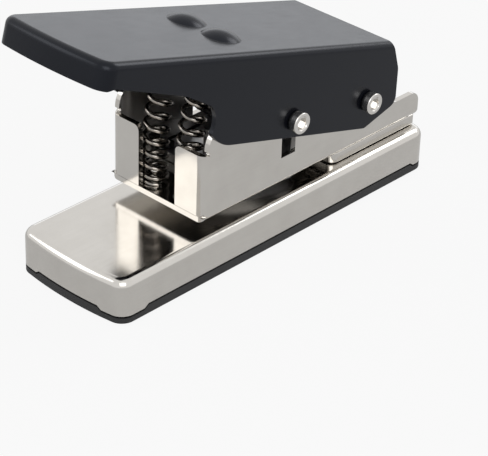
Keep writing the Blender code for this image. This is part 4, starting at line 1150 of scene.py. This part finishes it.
@dataclass(frozen=True)
class FoldedFrame:
    """Channel folded from one sheet: floor, two walls, front flanges."""

    station: float
    bottom: float = 0.01895
    width: float = 0.0400
    sheet: float = 0.0018
    bend_radius: float = 0.0026
    fold_radius: float = 0.0032
    plate_corner: float = 0.0024
    length: float = 0.0997
    wall_height: float = 0.0316
    nose_radius: float = 0.0075
    wall_back: float = 0.0760
    wall_back_radius: float = 0.0050
    tail_height: float = 0.00925
    tail_foot: float = 0.0850
    tail_foot_radius: float = 0.0060
    tail_top_radius: float = 0.0035
    tail_bottom_radius: float = 0.0025
    flange_height: float = 0.02265
    flange_corner: float = 0.0020
    mouth_width: float = 0.0156
    relief_slot: float = 0.0011
    relief_reach: float = 0.0021
    fold_slit: float = 0.0001
    slot_width: float = 0.0062
    slot_offset: float = 0.0005
    slot_floor: float = 0.0097
    edge_break: float = 0.00022
    outer_bend_steps: int = 8
    inner_bend_steps: int = 6

    @property
    def plate_top(self) -> float:
        """Level of the floor's upper face."""
        return self.bottom + self.sheet

    @property
    def flange_top(self) -> float:
        """Level of the flanges' upper edges."""
        return self.bottom + self.flange_height

    @property
    def wall_top(self) -> float:
        """Level of the walls' upper edges."""
        return self.bottom + self.wall_height

    def _side(self) -> list[Point]:
        """Side view: round nose, high wall, low tail.

        Returns:
            The outline's points.
        """
        start = self.station
        tail_top = self.bottom + self.tail_height
        rear = start + self.length
        shelf = self.flange_top + self.relief_slot / 2
        return rounded(
            [
                (start - OVERRUN, self.bottom - OVERRUN, 0.0),
                (rear - self.tail_bottom_radius, self.bottom - OVERRUN, 0.0),
                (rear - self.tail_bottom_radius, self.bottom, 0.0),
                (rear, self.bottom, self.tail_bottom_radius),
                (rear, tail_top, self.tail_top_radius),
                (start + self.tail_foot, tail_top, self.tail_foot_radius),
                (start + self.wall_back, self.wall_top, self.wall_back_radius),
                (start + self.sheet, self.wall_top, self.nose_radius),
                (start + self.sheet, shelf, 0.0),
                (start - OVERRUN, shelf, 0.0),
            ]
        )

    def _missing_corner(self, side: int, radius: float) -> list[Point]:
        """Plan of the metal missing outside an upright round corner.

        Args:
            side: 1 for the left side, -1 for the right.
            radius: Radius of the corner.

        Returns:
            The outline's points.
        """
        half = self.width / 2
        start = self.station
        bend = arc((start + radius, half - radius), radius, math.pi, QUARTER_TURN, BEND_STEPS)
        points = [
            (start - OVERRUN, half - radius),
            *bend,
            (start + radius, half + OVERRUN),
            (start - OVERRUN, half + OVERRUN),
        ]
        return [(x, y * side) for x, y in points]

    def _mouth(self) -> list[Point]:
        """Front view of the opening between the flanges and above them.

        Returns:
            The outline's points.
        """
        half = self.mouth_width / 2
        inside = self.width / 2 - self.sheet
        radius = self.flange_corner
        shoulder = arc((half + radius, self.flange_top - radius), radius, math.pi, QUARTER_TURN, BEND_STEPS)
        right = [(half, self.plate_top), *shoulder, (inside, self.flange_top), (inside, self.wall_top + OVERRUN)]
        return right + [(-y, z) for y, z in reversed(right)]

    def build(
        self, pick: PickShape, rivets: Sequence[Point], pins: "LeverSizes", posts: Sequence[Point]
    ) -> bpy.types.Object:
        """Build the folded channel.

        Args:
            pick: Shape of the hole that the punch passes.
            rivets: Places of the rivet holes.
            pins: Sizes and places of the cross bolts.
            posts: Places of the spring pockets.

        Returns:
            The frame.
        """
        half = self.width / 2
        start = self.station
        outer = block((start, -half, self.bottom), (start + self.length, half, self.wall_top))
        round_edges(outer, self.bend_radius, self.outer_bend_steps, self._low_sides(self.bottom))
        work = Workpiece("folded_frame", outer)
        work.combine(prism(self._side(), -half - OVERRUN, half + OVERRUN, Plane.SIDE), "INTERSECT")
        inside = half - self.sheet
        hollow = block(
            (start + self.sheet, -inside, self.plate_top),
            (start + self.length + OVERRUN, inside, self.wall_top + OVERRUN),
        )
        inner_bend = self.bend_radius - self.sheet
        round_edges(hollow, inner_bend, self.inner_bend_steps, self._low_sides(self.plate_top))
        work.combine(hollow)
        face = start + self.sheet + SEAT_GAP
        work.combine(prism(self._mouth(), start - OVERRUN, face, Plane.FRONT))
        slit_top = self.plate_top + self.fold_slit
        flat = half - self.fold_radius + self.fold_slit
        work.combine(block((start - OVERRUN, -flat, self.plate_top), (face, flat, slit_top)))
        for side in (-1, 1):
            shelf = self.flange_top + self.relief_slot / 2
            work.combine(prism(self._missing_corner(side, self.fold_radius), slit_top, shelf))
            work.combine(prism(self._missing_corner(side, self.plate_corner), self.bottom - OVERRUN, slit_top))
            work.combine(self._relief(side))
        self._holes(work, pick, rivets, pins, posts)
        work.settle().soften(self.edge_break)
        return work.finish(NICKEL, Body.BASE, "frame_channel")

    @staticmethod
    def _low_sides(level: float) -> EdgeTest:
        """Test for the lowest edges that run along the frame."""
        return lambda a, b: max(a.z, b.z) < level + OVERRUN / 2 and abs(a.y - b.y) < OVERRUN

    def _relief(self, side: int) -> bmesh.types.BMesh:
        """Round-ended slot that parts a flange from the free wall above it.

        Args:
            side: 1 for the left side, -1 for the right.

        Returns:
            A closed shape.
        """
        radius = self.relief_slot / 2
        start = self.station
        middle = (start + self.relief_reach, self.flange_top + radius)
        end = arc(middle, radius, -QUARTER_TURN, QUARTER_TURN, BEND_STEPS)
        outline = [
            (start - OVERRUN, self.flange_top),
            *end,
            (start - OVERRUN, self.flange_top + self.relief_slot),
        ]
        near = (self.width / 2 - self.sheet - OVERRUN) * side
        far = (self.width / 2 + OVERRUN) * side
        return prism(outline, min(near, far), max(near, far), Plane.SIDE)

    def _holes(
        self,
        work: Workpiece,
        pick: PickShape,
        rivets: Sequence[Point],
        pins: "LeverSizes",
        posts: Sequence[Point],
    ) -> None:
        """Cut the pin holes, drive slots, pick hole, rivet holes and spring pockets.

        Args:
            work: The frame in work.
            pick: Shape of the hole that the punch passes.
            rivets: Places of the rivet holes.
            pins: Sizes and places of the cross bolts.
            posts: Places of the spring pockets.
        """
        reach = self.width / 2 + OVERRUN
        pivot = (self.station + pins.pivot_station, 0.0, pins.pivot_height)
        bore = pins.pin_radius + RUNNING_GAP
        work.combine(rod(bore, -reach, reach, BORE_STEPS, pivot, Axis.LEFT))
        middle = pick.station + self.slot_offset
        low = self.bottom + self.slot_floor
        high = pins.drive_rest_height + bore
        half_slot = self.slot_width / 2
        work.combine(block((middle - half_slot, -reach, low), (middle + half_slot, reach, high)))
        under, over = self.bottom - OVERRUN, self.plate_top + OVERRUN
        work.combine(prism(pick.outline(DIE.cover_gap), under, over))
        work.drill(STACK.rivet_radius + HOLE_GAP, under, over, rivets)
        pocket = self.plate_top - SPRINGS.pocket_depth
        for post in posts:
            work.drill(SPRINGS.post_shank + HOLE_GAP, under, over, [post])
            work.drill(SPRINGS.pocket_radius, pocket, over, [post], BORE_STEPS)


@dataclass(frozen=True)
class LeverSizes:
    """Sizes of the pressed lever and of the pins that it turns and pushes with."""

    pivot_station: float = 0.0708
    pivot_height: float = 0.0359
    tilt_degrees: float = 16.06
    pin_radius: float = 0.0020
    width: float = 0.0443
    sheet: float = 0.0016
    edge_radius: float = 0.0024
    corner_radius: float = 0.0050
    bow_radius: float = 0.1400
    top_length: float = 0.1290
    pivot_reach: float = 0.12235
    pivot_depth: float = 0.0189
    lip_depth: float = 0.0082
    lip_reach: float = 0.0038
    lip_radius: float = 0.0016
    step_depth: float = 0.0009
    step_length: float = 0.0024
    step_radius: float = 0.0012
    side_depth: float = 0.0284
    knee_reach: float = 0.0362
    knee_depth: float = 0.0115
    knee_radius: float = 0.0120
    notch_reach: float = 0.0444
    notch_depth: float = 0.0216
    notch_radius: float = 0.00715
    toe_depth: float = 0.0244
    sole_share: float = 3.45
    heel_top_reach: float = 0.0056
    heel_top_depth: float = 0.0088
    heel_reach: float = 0.0087
    heel_depth: float = 0.0206
    heel_inset: float = 0.0046
    heel_top_radius: float = 0.0060
    heel_radius: float = 0.0032
    heel_foot_radius: float = 0.0030
    dome_reach: float = 0.0632
    dome_spacing: float = 0.0144
    dome_radius: float = 0.0062
    dome_height: float = 0.0022
    dome_fillet: float = 0.0007
    drive_arm: float = 0.0344
    drive_drop: float = 0.0038

    @property
    def tilt(self) -> float:
        """Angle that the raised lever makes with the base."""
        return math.radians(self.tilt_degrees)

    @property
    def drive_rest_height(self) -> float:
        """Level of the drive pin while the lever is raised."""
        up = self.drive_arm * math.sin(self.tilt) - self.drive_drop * math.cos(self.tilt)
        return self.pivot_height + up

    def pins(self) -> dict[str, Triple]:
        """Places of the two cross bolts in the level lever, by name."""
        return {"pivot": (0.0, 0.0, 0.0), "drive": (-self.drive_arm, 0.0, -self.drive_drop)}

    def place(self, station: float) -> Matrix:
        """Matrix from the level lever, about its pivot, to its raised place."""
        pivot = Vector((station + self.pivot_station, 0.0, self.pivot_height))
        return Matrix.Translation(pivot) @ Matrix.Rotation(self.tilt, 4, "Y")


@dataclass(frozen=True)
class PressLever:
    """Pressed black lever, modelled level about its pivot and then raised."""

    station: float
    sizes: LeverSizes
    bow_steps: int = 24
    corner_steps: int = 12
    edge_steps: int = 7
    inner_edge_steps: int = 4
    scoop_steps: int = 20
    fillet_steps: int = 8
    crown_steps: int = 16
    dome_steps: int = 56
    dome_sink: float = 0.00001

    def _plan(self, inset: float, rear: float) -> list[Point]:
        """Plan with a bowed front and round front corners.

        Args:
            inset: Distance inside the lever's outside.
            rear: Where the plan ends.

        Returns:
            The outline's points.
        """
        sizes = self.sizes
        half = sizes.width / 2
        corner_y = half - sizes.corner_radius
        bow_x = sizes.bow_radius - sizes.pivot_reach
        reach = sizes.bow_radius - sizes.corner_radius
        corner_x = bow_x - math.sqrt(reach * reach - corner_y * corner_y)
        lean = math.atan2(corner_y, bow_x - corner_x)
        corner = sizes.corner_radius - inset
        bow = sizes.bow_radius - inset
        front = arc((corner_x, corner_y), corner, QUARTER_TURN, math.pi - lean, self.corner_steps)
        front += arc((bow_x, 0.0), bow, math.pi - lean, math.pi + lean, self.bow_steps)[1:-1]
        front += arc((corner_x, -corner_y), corner, math.pi + lean, 3 * QUARTER_TURN, self.corner_steps)
        return [*front, (rear, inset - half), (rear, half - inset)]

    def _side(self) -> list[Point]:
        """Side view: thin lip, round notch, deep cheek, raked heel.

        Returns:
            The outline's points.
        """
        s = self.sizes
        notch = Vector((s.notch_reach, s.notch_depth))
        line = notch - Vector((s.knee_reach, s.knee_depth))
        heading = math.atan2(line.y, line.x) - math.asin(s.notch_radius / line.length)
        toe_lean = math.asin((s.toe_depth - s.notch_depth) / s.notch_radius)
        toe = notch + Vector((math.cos(toe_lean), math.sin(toe_lean))) * s.notch_radius
        drop = s.side_depth - s.toe_depth
        sole = drop * s.sole_share
        sole_x = toe.x + math.sqrt(2 * sole * drop - drop * drop)
        rise = math.asin((sole_x - toe.x) / sole)
        under = arc((sole_x, s.side_depth - sole), sole, QUARTER_TURN + rise, QUARTER_TURN, self.corner_steps)
        scoop = arc(tuple(notch), s.notch_radius, heading - QUARTER_TURN, toe_lean, self.scoop_steps)
        back = s.top_length
        above = -OVERRUN - s.dome_height
        corners = [
            (-OVERRUN, above, 0.0),
            (-OVERRUN, s.lip_depth, 0.0),
            (s.lip_reach, s.lip_depth, s.lip_radius),
            (s.lip_reach + s.step_length, s.lip_depth - s.step_depth, s.step_radius),
            (s.knee_reach, s.knee_depth, s.knee_radius),
            *[(x, y, 0.0) for x, y in scoop],
            *[(x, y, 0.0) for x, y in under[1:]],
            (back - s.heel_inset, s.side_depth, s.heel_foot_radius),
            (back + s.heel_reach, s.heel_depth, s.heel_radius),
            (back + s.heel_top_reach, s.heel_top_depth, s.heel_top_radius),
            (back, 0.0, 0.0),
            (back, above, 0.0),
        ]
        outline = rounded(corners, BEND_STEPS)
        return [(reach - s.pivot_reach, s.pivot_depth - depth) for reach, depth in outline]

    def _dome(self, inset: float) -> list[Point]:
        """Profile of a spring dome, with a hollow fillet round its foot.

        Args:
            inset: Thickness of the sheet for the inside, or 0 for the outside.

        Returns:
            Points as (radius, height).
        """
        s = self.sizes
        ball = (s.dome_radius**2 + s.dome_height**2) / (2 * s.dome_height)
        centre = s.pivot_depth + s.dome_height - ball
        if inset > 0:
            level = s.pivot_depth - s.sheet
            start = math.asin((level - centre) / (ball - inset))
            crown = arc((0.0, centre), ball - inset, start, QUARTER_TURN, self.corner_steps)
            floor = level - OVERRUN / 2
            return [(0.0, floor), (crown[0][0], floor), *crown[:-1], (0.0, centre + ball - inset)]
        level = s.pivot_depth - self.dome_sink
        fillet = s.dome_fillet
        rise = level + fillet - centre
        foot = math.sqrt((ball + fillet) ** 2 - rise**2)
        lean = math.atan2(rise, foot)
        hollow = arc((foot, level + fillet), fillet, -QUARTER_TURN, lean - math.pi, self.fillet_steps)
        crown = arc((0.0, centre), ball, lean, QUARTER_TURN, self.crown_steps)[1:-1]
        floor = level - s.sheet / 2
        return [(0.0, floor), (foot, floor), *hollow, *crown, (0.0, centre + ball)]

    def build(self) -> bpy.types.Object:
        """Build the lever.

        Returns:
            The lever, raised as it rests.
        """
        s = self.sizes
        top = s.pivot_depth
        rear = s.top_length - s.pivot_reach + s.heel_reach + OVERRUN
        bottom = top - s.side_depth - OVERRUN
        outer = prism(self._plan(0.0, rear), bottom, top)
        round_edges(outer, s.edge_radius, self.edge_steps, self._rim(top, rear))
        work = Workpiece("pressed_lever", outer)
        ceiling = top - s.sheet
        hollow = prism(self._plan(s.sheet, rear + OVERRUN), bottom - OVERRUN, ceiling)
        round_edges(hollow, s.edge_radius - s.sheet, self.inner_edge_steps, self._rim(ceiling, rear + OVERRUN))
        work.combine(hollow)
        reach = s.width / 2 + OVERRUN
        work.combine(prism(self._side(), -reach, reach, Plane.SIDE), "INTERSECT")
        for side in (-1, 1):
            place = (s.dome_reach - s.pivot_reach, side * s.dome_spacing / 2, 0.0)
            work.combine(turned(self._dome(0.0), self.dome_steps, place), "UNION")
            work.combine(turned(self._dome(s.sheet), self.dome_steps, place))
        radius = s.pin_radius + HOLE_GAP
        for place in s.pins().values():
            work.combine(rod(radius, -reach, reach, BORE_STEPS, place, Axis.LEFT))
        work.settle().place(s.place(self.station))
        return work.finish(PAINT, Body.LEVER, "press_lever")

    @staticmethod
    def _rim(level: float, rear: float) -> EdgeTest:
        """Test for the top face's edges, apart from the one across its rear end."""
        return lambda a, b: min(a.z, b.z) > level - OVERRUN / 2 and min(a.x, b.x) < rear - SEAT_GAP


@dataclass(frozen=True)
class CrossBolts:
    """Socket bolts across the lever, their cap nuts and washers."""

    sizes: LeverSizes
    head_radius: float = 0.0035
    head_height: float = 0.0021
    head_chamfer: float = 0.0004
    flats: float = 0.0036
    socket_depth: float = 0.0015
    socket_chamfer: float = 0.0003
    washer_radius: float = 0.0033
    washer_thickness: float = 0.0007
    nut_cap: float = 0.0007
    washer_edge: float = 0.00014
    socket_sides: int = 6
    edge_steps: int = 3
    rim_steps: int = 5
    steps: int = 64

    def build(self, station: float) -> None:
        """Build both bolts with what sits on them."""
        for name, place in self.sizes.pins().items():
            self._bolt(name, place, self.sizes.place(station))

    def _levels(self) -> tuple[float, float, float, float]:
        """Distances from the lever's middle along a bolt.

        Returns:
            Those of the washer, the head, its face and the shank's end.
        """
        washer_in = self.sizes.width / 2 + SEAT_GAP
        head_in = washer_in + self.washer_thickness + SEAT_GAP
        head_out = head_in + self.head_height
        return washer_in, head_in, head_out, head_out - self.nut_cap - self.socket_depth / 2

    def _bolt(self, name: str, place: Triple, matrix: Matrix) -> None:
        """Build one bolt, its nut and its washers.

        Args:
            name: Name of the bolt.
            place: Its place in the level lever.
            matrix: Place of the lever.
        """
        washer_in, head_in, head_out, shank_end = self._levels()
        radius = self.sizes.pin_radius
        chamfer = self.head_chamfer
        rim = arc((self.head_radius - chamfer, head_out - chamfer), chamfer, 0.0, QUARTER_TURN, self.rim_steps)
        head = [(self.head_radius, head_in), *rim, (0.0, head_out)]
        tip = -shank_end + chamfer
        shank = [(0.0, tip), (radius, tip), (radius, head_in)]
        bolt = Workpiece(f"{name}_bolt_turned", turned([*shank, *head], self.steps, place, Axis.RIGHT))
        self._socket(bolt, place, head_out)
        bolt.settle().place(matrix).finish(BOLT_NICKEL, Body.LEVER, f"{name}_bolt")
        bore = radius + HOLE_GAP
        floor = shank_end + SEAT_GAP
        inner = [(0.0, floor), (bore, floor), (bore, head_in)]
        nut = Workpiece(f"{name}_nut_turned", turned([*inner, *head], self.steps, place, Axis.LEFT))
        nut.place(matrix).finish(BOLT_NICKEL, Body.LEVER, f"{name}_nut")
        washer_out = washer_in + self.washer_thickness
        corners = [
            (bore, washer_in, 0.0),
            (self.washer_radius, washer_in, self.washer_edge),
            (self.washer_radius, washer_out, self.washer_edge),
            (bore, washer_out, 0.0),
        ]
        section = rounded(corners, self.edge_steps)
        for side, axis in (("right", Axis.RIGHT), ("left", Axis.LEFT)):
            washer = Workpiece(f"{name}_washer_{side}_turned", turned(section, self.steps, place, axis))
            washer.place(matrix).finish(OXIDE, Body.LEVER, f"{name}_washer_{side}")

    def _socket(self, bolt: Workpiece, place: Triple, face: float) -> None:
        """Cut the hexagon socket and its chamfered mouth.

        Args:
            bolt: The bolt in work.
            place: Its place in the level lever.
            face: Distance of its face from the middle.
        """
        corner = self.flats / 2 / math.cos(math.pi / self.socket_sides)
        hexagon = [(place[0] + x, place[2] + z) for x, z in ring(corner, self.socket_sides)]
        bolt.combine(prism(hexagon, -face - OVERRUN, -face + self.socket_depth, Plane.SIDE))
        mouth = [
            (0.0, face - self.socket_chamfer),
            (corner, face - self.socket_chamfer),
            (corner + self.socket_chamfer, face),
            (corner + self.socket_chamfer, face + OVERRUN),
            (0.0, face + OVERRUN),
        ]
        bolt.combine(turned(mouth, self.steps, place, Axis.RIGHT))


@dataclass(frozen=True)
class ReturnSprings:
    """Two coil springs that lift the lever, and the posts that they stand on."""

    station: float = 0.00647
    spacing: float = 0.0142
    coil_radius: float = 0.0036
    wire_radius: float = 0.00075
    rest_gap: float = 0.00052
    active_turns: float = 9.85
    closed_turns: float = 1.25
    growth: float = 1.04
    bow_share: float = 3.2
    start_degrees: float = 240.0
    pocket_depth: float = 0.0009
    pocket_play: float = 0.00025
    seat_depth: float = 0.00185
    post_radius: float = 0.0021
    post_height: float = 0.0050
    post_shank: float = 0.0013
    post_chamfer: float = 0.0005
    points_per_turn: int = 40
    wire_rings: int = 6
    chamfer_steps: int = 6

    @property
    def pocket_radius(self) -> float:
        """Radius of the pocket that the lowest turn sits in."""
        return self.coil_radius + self.wire_radius + self.pocket_play

    def places(self, origin: float) -> dict[str, Point]:
        """Feet of the two springs by side."""
        return {side: (origin + self.station, sign * self.spacing / 2) for side, sign in (("left", 1), ("right", -1))}

    def _seat(self, origin: float, sizes: LeverSizes, press: float = 0.0) -> Vector:
        """Middle of the upper end of a spring.

        Args:
            origin: Front face of the frame.
            sizes: Sizes of the lever.
            press: Angle that the lever is pressed down.

        Returns:
            The place, in the middle plane.
        """
        along = sizes.dome_reach - sizes.pivot_reach
        up = sizes.pivot_depth - self.seat_depth
        tilt = sizes.tilt - press
        x = origin + sizes.pivot_station + along * math.cos(tilt) + up * math.sin(tilt)
        return Vector((x, 0.0, sizes.pivot_height - along * math.sin(tilt) + up * math.cos(tilt)))

    def _centreline(self, foot: Vector, head: Vector, upper_y: float, tilt: float) -> list[Vector]:
        """Points along one coil: closed ends, open middle, bowed to its upper seat.

        Args:
            foot: Middle of the lower end.
            head: Middle of the upper end.
            upper_y: Where the upper end lies across the lever.
            tilt: Lean of the upper turns.

        Returns:
            The points from the lower end up.
        """
        rise = head.z - foot.z
        pitch = 2 * self.wire_radius + self.rest_gap
        closed_rise = pitch * self.closed_turns
        turns = self.active_turns + 2 * self.closed_turns
        count = round(turns * self.points_per_turn)
        points = []
        for index in range(count + 1):
            turn = turns * index / count
            if turn < self.closed_turns:
                height = pitch * turn
            elif turn > turns - self.closed_turns:
                height = rise - pitch * (turns - turn)
            else:
                wound = (turn - self.closed_turns) / self.active_turns
                height = closed_rise + (rise - 2 * closed_rise) * wound**self.growth
            share = height / rise
            lean = tilt * share
            angle = math.radians(self.start_degrees) - FULL_TURN * turn
            out = self.coil_radius * math.cos(angle)
            x = foot.x + (head.x - foot.x) * share**self.bow_share + out * math.cos(lean)
            y = foot.y + (upper_y - foot.y) * share + self.coil_radius * math.sin(angle)
            points.append(Vector((x, y, foot.z + height - out * math.sin(lean))))
        return points

    def build(self, origin: float, sizes: LeverSizes, levels: Point, press: float) -> None:
        """Build both springs and both posts.

        Args:
            origin: Front face of the frame.
            sizes: Sizes of the lever that the springs carry.
            levels: Levels of the frame floor's underside and top.
            press: Angle that the lever can be pressed down.
        """
        floor = levels[1] - self.pocket_depth + SEAT_GAP
        head = self._seat(origin, sizes)
        pressed = self._seat(origin, sizes, press)
        for side, (x, y) in self.places(origin).items():
            foot = Vector((x, y, floor + self.wire_radius))
            upper_y = math.copysign(sizes.dome_spacing / 2, y)
            points = self._centreline(foot, head, upper_y, sizes.tilt)
            spring = self._wire(f"coil_spring_{side}", points)
            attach(spring, Body.BASE.value)
            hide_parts(f"return_spring_{side}")
            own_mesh(spring)
            LOG.info("coil_spring_%s: %d faces", side, len(spring.data.polygons))
            self._post(side, (x, y), levels[0], floor)

    def _wire(self, name: str, points: Sequence[Vector]) -> bpy.types.Object:
        """Sweep the round wire along its line.

        Args:
            name: Name of the spring.
            points: Points of the line.

        Returns:
            The spring.
        """
        curve = bpy.data.curves.new(f"{name}_line", "CURVE")
        curve.dimensions = "3D"
        curve.bevel_depth = self.wire_radius
        curve.bevel_resolution = self.wire_rings
        curve.use_fill_caps = True
        line = curve.splines.new("POLY")
        line.points.add(len(points) - 1)
        for target, point in zip(line.points, points):
            target.co = (*point, 1.0)
        drawn = linked(f"{name}_line", curve)
        mesh = settled_mesh(drawn)
        bpy.data.objects.remove(drawn, do_unlink=True)
        mesh.name = name
        mesh.shade_smooth()
        spring = linked(name, mesh)
        WIRE_STEEL.dress(spring)
        return spring

    def _post(self, side: str, place: Point, low: float, floor: float) -> None:
        """Build the post inside the lowest turns of one spring.

        Args:
            side: Its side by name.
            place: Its centre.
            low: Level that its shank ends at.
            floor: Level that it stands on.
        """
        top = floor + self.post_height
        chamfer = self.post_chamfer
        profile = [
            (0.0, low),
            (self.post_shank, low),
            (self.post_shank, floor),
            (self.post_radius, floor),
            *arc((self.post_radius - chamfer, top - chamfer), chamfer, 0.0, QUARTER_TURN, self.chamfer_steps),
            (0.0, top),
        ]
        post = Workpiece(f"post_{side}_turned", turned(profile, BORE_STEPS, (*place, 0.0)))
        post.finish(BOLT_NICKEL, Body.BASE, f"spring_post_{side}")


PUNCH_STATION = 0.0364
DIE = DieSet()
STACK = RearStack()
SPRINGS = ReturnSprings()


# Studio


@dataclass(frozen=True)
class Lamp:
    """Soft lamp with a flat face that looks at the punch.

    Attributes:
        name: Name of the lamp.
        towards: Direction from the punch to the lamp.
        distance: How far away it hangs.
        size: Width and height of its face.
        radiance: How bright its face is, where 1 is white.
        colour: Its colour.
        aim_height: Height of the place that it looks at.
    """

    name: str
    towards: Triple
    distance: float
    size: Point
    radiance: float
    colour: Triple = WHITE
    aim_height: float = 0.04

    def hang(self) -> None:
        """Put the lamp in its place."""
        data = bpy.data.lights.new(self.name, "AREA")
        data.shape = "RECTANGLE"
        data.size, data.size_y = self.size
        data.energy = self.radiance * math.pi * self.size[0] * self.size[1]
        data.color = self.colour
        lamp = linked(self.name, data)
        out = Vector(self.towards).normalized()
        place = out * self.distance + Vector((0.0, 0.0, self.aim_height))
        lamp.matrix_world = Matrix.Translation(place) @ out.to_track_quat("Z", "Y").to_matrix().to_4x4()


LAMPS = (
    Lamp("back_left_box", towards=(-0.615, 0.605, 0.506), distance=0.80, size=(0.34, 0.34), radiance=1.7),
    Lamp(
        "back_right_box",
        towards=(0.808, 0.579, 0.125),
        distance=1.40,
        size=(1.30, 0.50),
        radiance=0.52,
        colour=(0.86, 0.91, 1.0),
    ),
    Lamp("front_box", towards=(-0.60, -0.75, 0.75), distance=0.90, size=(0.55, 0.55), radiance=2.3),
    Lamp("right_box", towards=(0.85, -0.15, 0.60), distance=0.90, size=(0.40, 0.40), radiance=3.2),
)


@dataclass(frozen=True)
class Studio:
    """Camera, pale floor, white sky and soft lamps.

    The sky and the floor are white where they are seen, and darker where they light the punch.
    """

    station: float
    lens: float = 157.14
    sensor: float = 36.0
    place: Triple = (-0.38980, -0.39709, 0.35127)
    azimuth: float = -0.82453
    elevation: float = 0.55053
    roll: float = 0.03216
    nearest: float = 0.01
    farthest: float = 20.0
    sky_level: float = 0.42
    floor_half: float = 3.0
    floor_drop: float = 0.0001
    floor_grey: float = 0.62
    white_if_seen: float = 0.42
    white_for_camera: float = 0.48

    def camera(self) -> None:
        """Put the camera where the photograph was taken from."""
        a, e = self.azimuth, self.elevation
        ahead = Vector((-math.sin(a) * math.cos(e), math.cos(a) * math.cos(e), -math.sin(e)))
        side = Vector((math.cos(a), math.sin(a), 0.0))
        over = side.cross(ahead)
        right = side * math.cos(self.roll) + over * math.sin(self.roll)
        up = over * math.cos(self.roll) - side * math.sin(self.roll)
        data = bpy.data.cameras.new("camera")
        data.lens, data.sensor_width = self.lens, self.sensor
        data.clip_start, data.clip_end = self.nearest, self.farthest
        camera = linked("camera", data)
        turn = Matrix((right, up, -ahead)).transposed().to_4x4()
        x, y, z = self.place
        camera.matrix_world = Matrix.Translation((x + self.station, y, z)) @ turn
        bpy.context.scene.camera = camera

    @staticmethod
    def _ray(tree: ShaderTree, kind: str) -> Wire:
        """Tell rays of one kind from the rest.

        Args:
            tree: Tree that asks.
            kind: Name of the kind.

        Returns:
            1 for rays of the kind, else 0.
        """
        return tree.node("ShaderNodeLightPath", output=f"Is {kind} Ray")

    def _seen(self, tree: ShaderTree) -> Wire:
        """Tell rays that someone sees from those that only light.

        Args:
            tree: Tree that asks.

        Returns:
            1 for rays from the camera and from gloss or glass, else 0.
        """
        near = self._ray(tree, "Camera") + self._ray(tree, "Glossy")
        glass = self._ray(tree, "Transmission")
        return tree.node("ShaderNodeMath", {"operation": "ADD", "use_clamp": True}, {0: near, 1: glass})

    def world(self) -> None:
        """Surround the scene with a white sky that lights it softly."""
        world = bpy.data.worlds.new("pale_studio")
        bpy.context.scene.world = world
        tree = ShaderTree(world)
        level = self.sky_level + (1.0 - self.sky_level) * self._seen(tree)
        sky = tree.node("ShaderNodeBackground", None, {"Color": rgba(WHITE), "Strength": level})
        tree.end("ShaderNodeOutputWorld", sky)

    def floor(self) -> None:
        """Lay the pale floor, which keeps the soft shadow of the punch."""
        shape = bmesh.new()
        bmesh.ops.create_grid(shape, x_segments=1, y_segments=1, size=self.floor_half)
        bmesh.ops.translate(shape, verts=shape.verts[:], vec=Vector((0.0, 0.0, -self.floor_drop)))
        floor = Workpiece("floor", shape).piece
        material = bpy.data.materials.new("pale_floor")
        tree = ShaderTree(material)
        grey = (self.floor_grey, self.floor_grey, self.floor_grey)
        matt = tree.node("ShaderNodeBsdfDiffuse", None, {"Color": rgba(grey)})
        white = tree.node("ShaderNodeEmission", None, {"Color": rgba(WHITE), "Strength": 1.0})
        blend = self._seen(tree) * self.white_if_seen + self._ray(tree, "Camera") * self.white_for_camera
        both = tree.node("ShaderNodeMixShader", None, {0: blend, 1: matt, 2: white})
        tree.end("ShaderNodeOutputMaterial", both)
        floor.data.materials.append(material)

    def build(self) -> None:
        """Set up the whole studio."""
        bpy.context.scene.view_settings.view_transform = "Standard"
        self.camera()
        self.world()
        self.floor()
        for lamp in LAMPS:
            lamp.hang()


def dress_packed(nodes: Iterable[str], finish: Finish) -> None:
    """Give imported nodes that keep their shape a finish.

    Args:
        nodes: Names of the nodes.
        finish: Their finish.
    """
    for name in nodes:
        finish.dress(frame["nodes"][name])
        LOG.info("%s keeps its packed shape", name)


def main() -> None:
    """Build every sub-assembly in order."""
    logging.basicConfig(level=logging.INFO, format="%(name)s: %(message)s")
    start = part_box("frame_channel")[0].x
    sizes = LeverSizes()
    pick = PickShape(start + PUNCH_STATION)
    folded = FoldedFrame(start)
    base = BaseShell(start)
    rivets = STACK.places(start)
    base.cover(pick, DIE.screw_places(pick), rivets)
    base.foot()
    STACK.spacer(start, base.height + SEAT_GAP, folded.bottom - SEAT_GAP)
    STACK.rivets(start, base.height - base.sheet - SEAT_GAP, folded.plate_top + SEAT_GAP)
    folded.build(pick, rivets, sizes, list(SPRINGS.places(start).values()))
    press = next(joint for joint in frame["joints"] if joint["name"] == "lever_press")
    SPRINGS.build(start, sizes, (folded.bottom, folded.plate_top), math.radians(press["range_deg"][1]))
    PressLever(start, sizes).build()
    CrossBolts(sizes).build(start)
    dress_packed(["die_plate", "punch_guide", "pick_punch"], TOOL_STEEL)
    screws = [f"{kind}_screw_{index}" for kind in ("die", "guide") for index in range(1, 5)]
    others = ["yoke_screw_front", "yoke_screw_rear", "punch_yoke", "pivot_tube", "drive_tube"]
    dress_packed(screws + others, OXIDE)
    Studio(start).build()


if __name__ == "__main__":
    main()
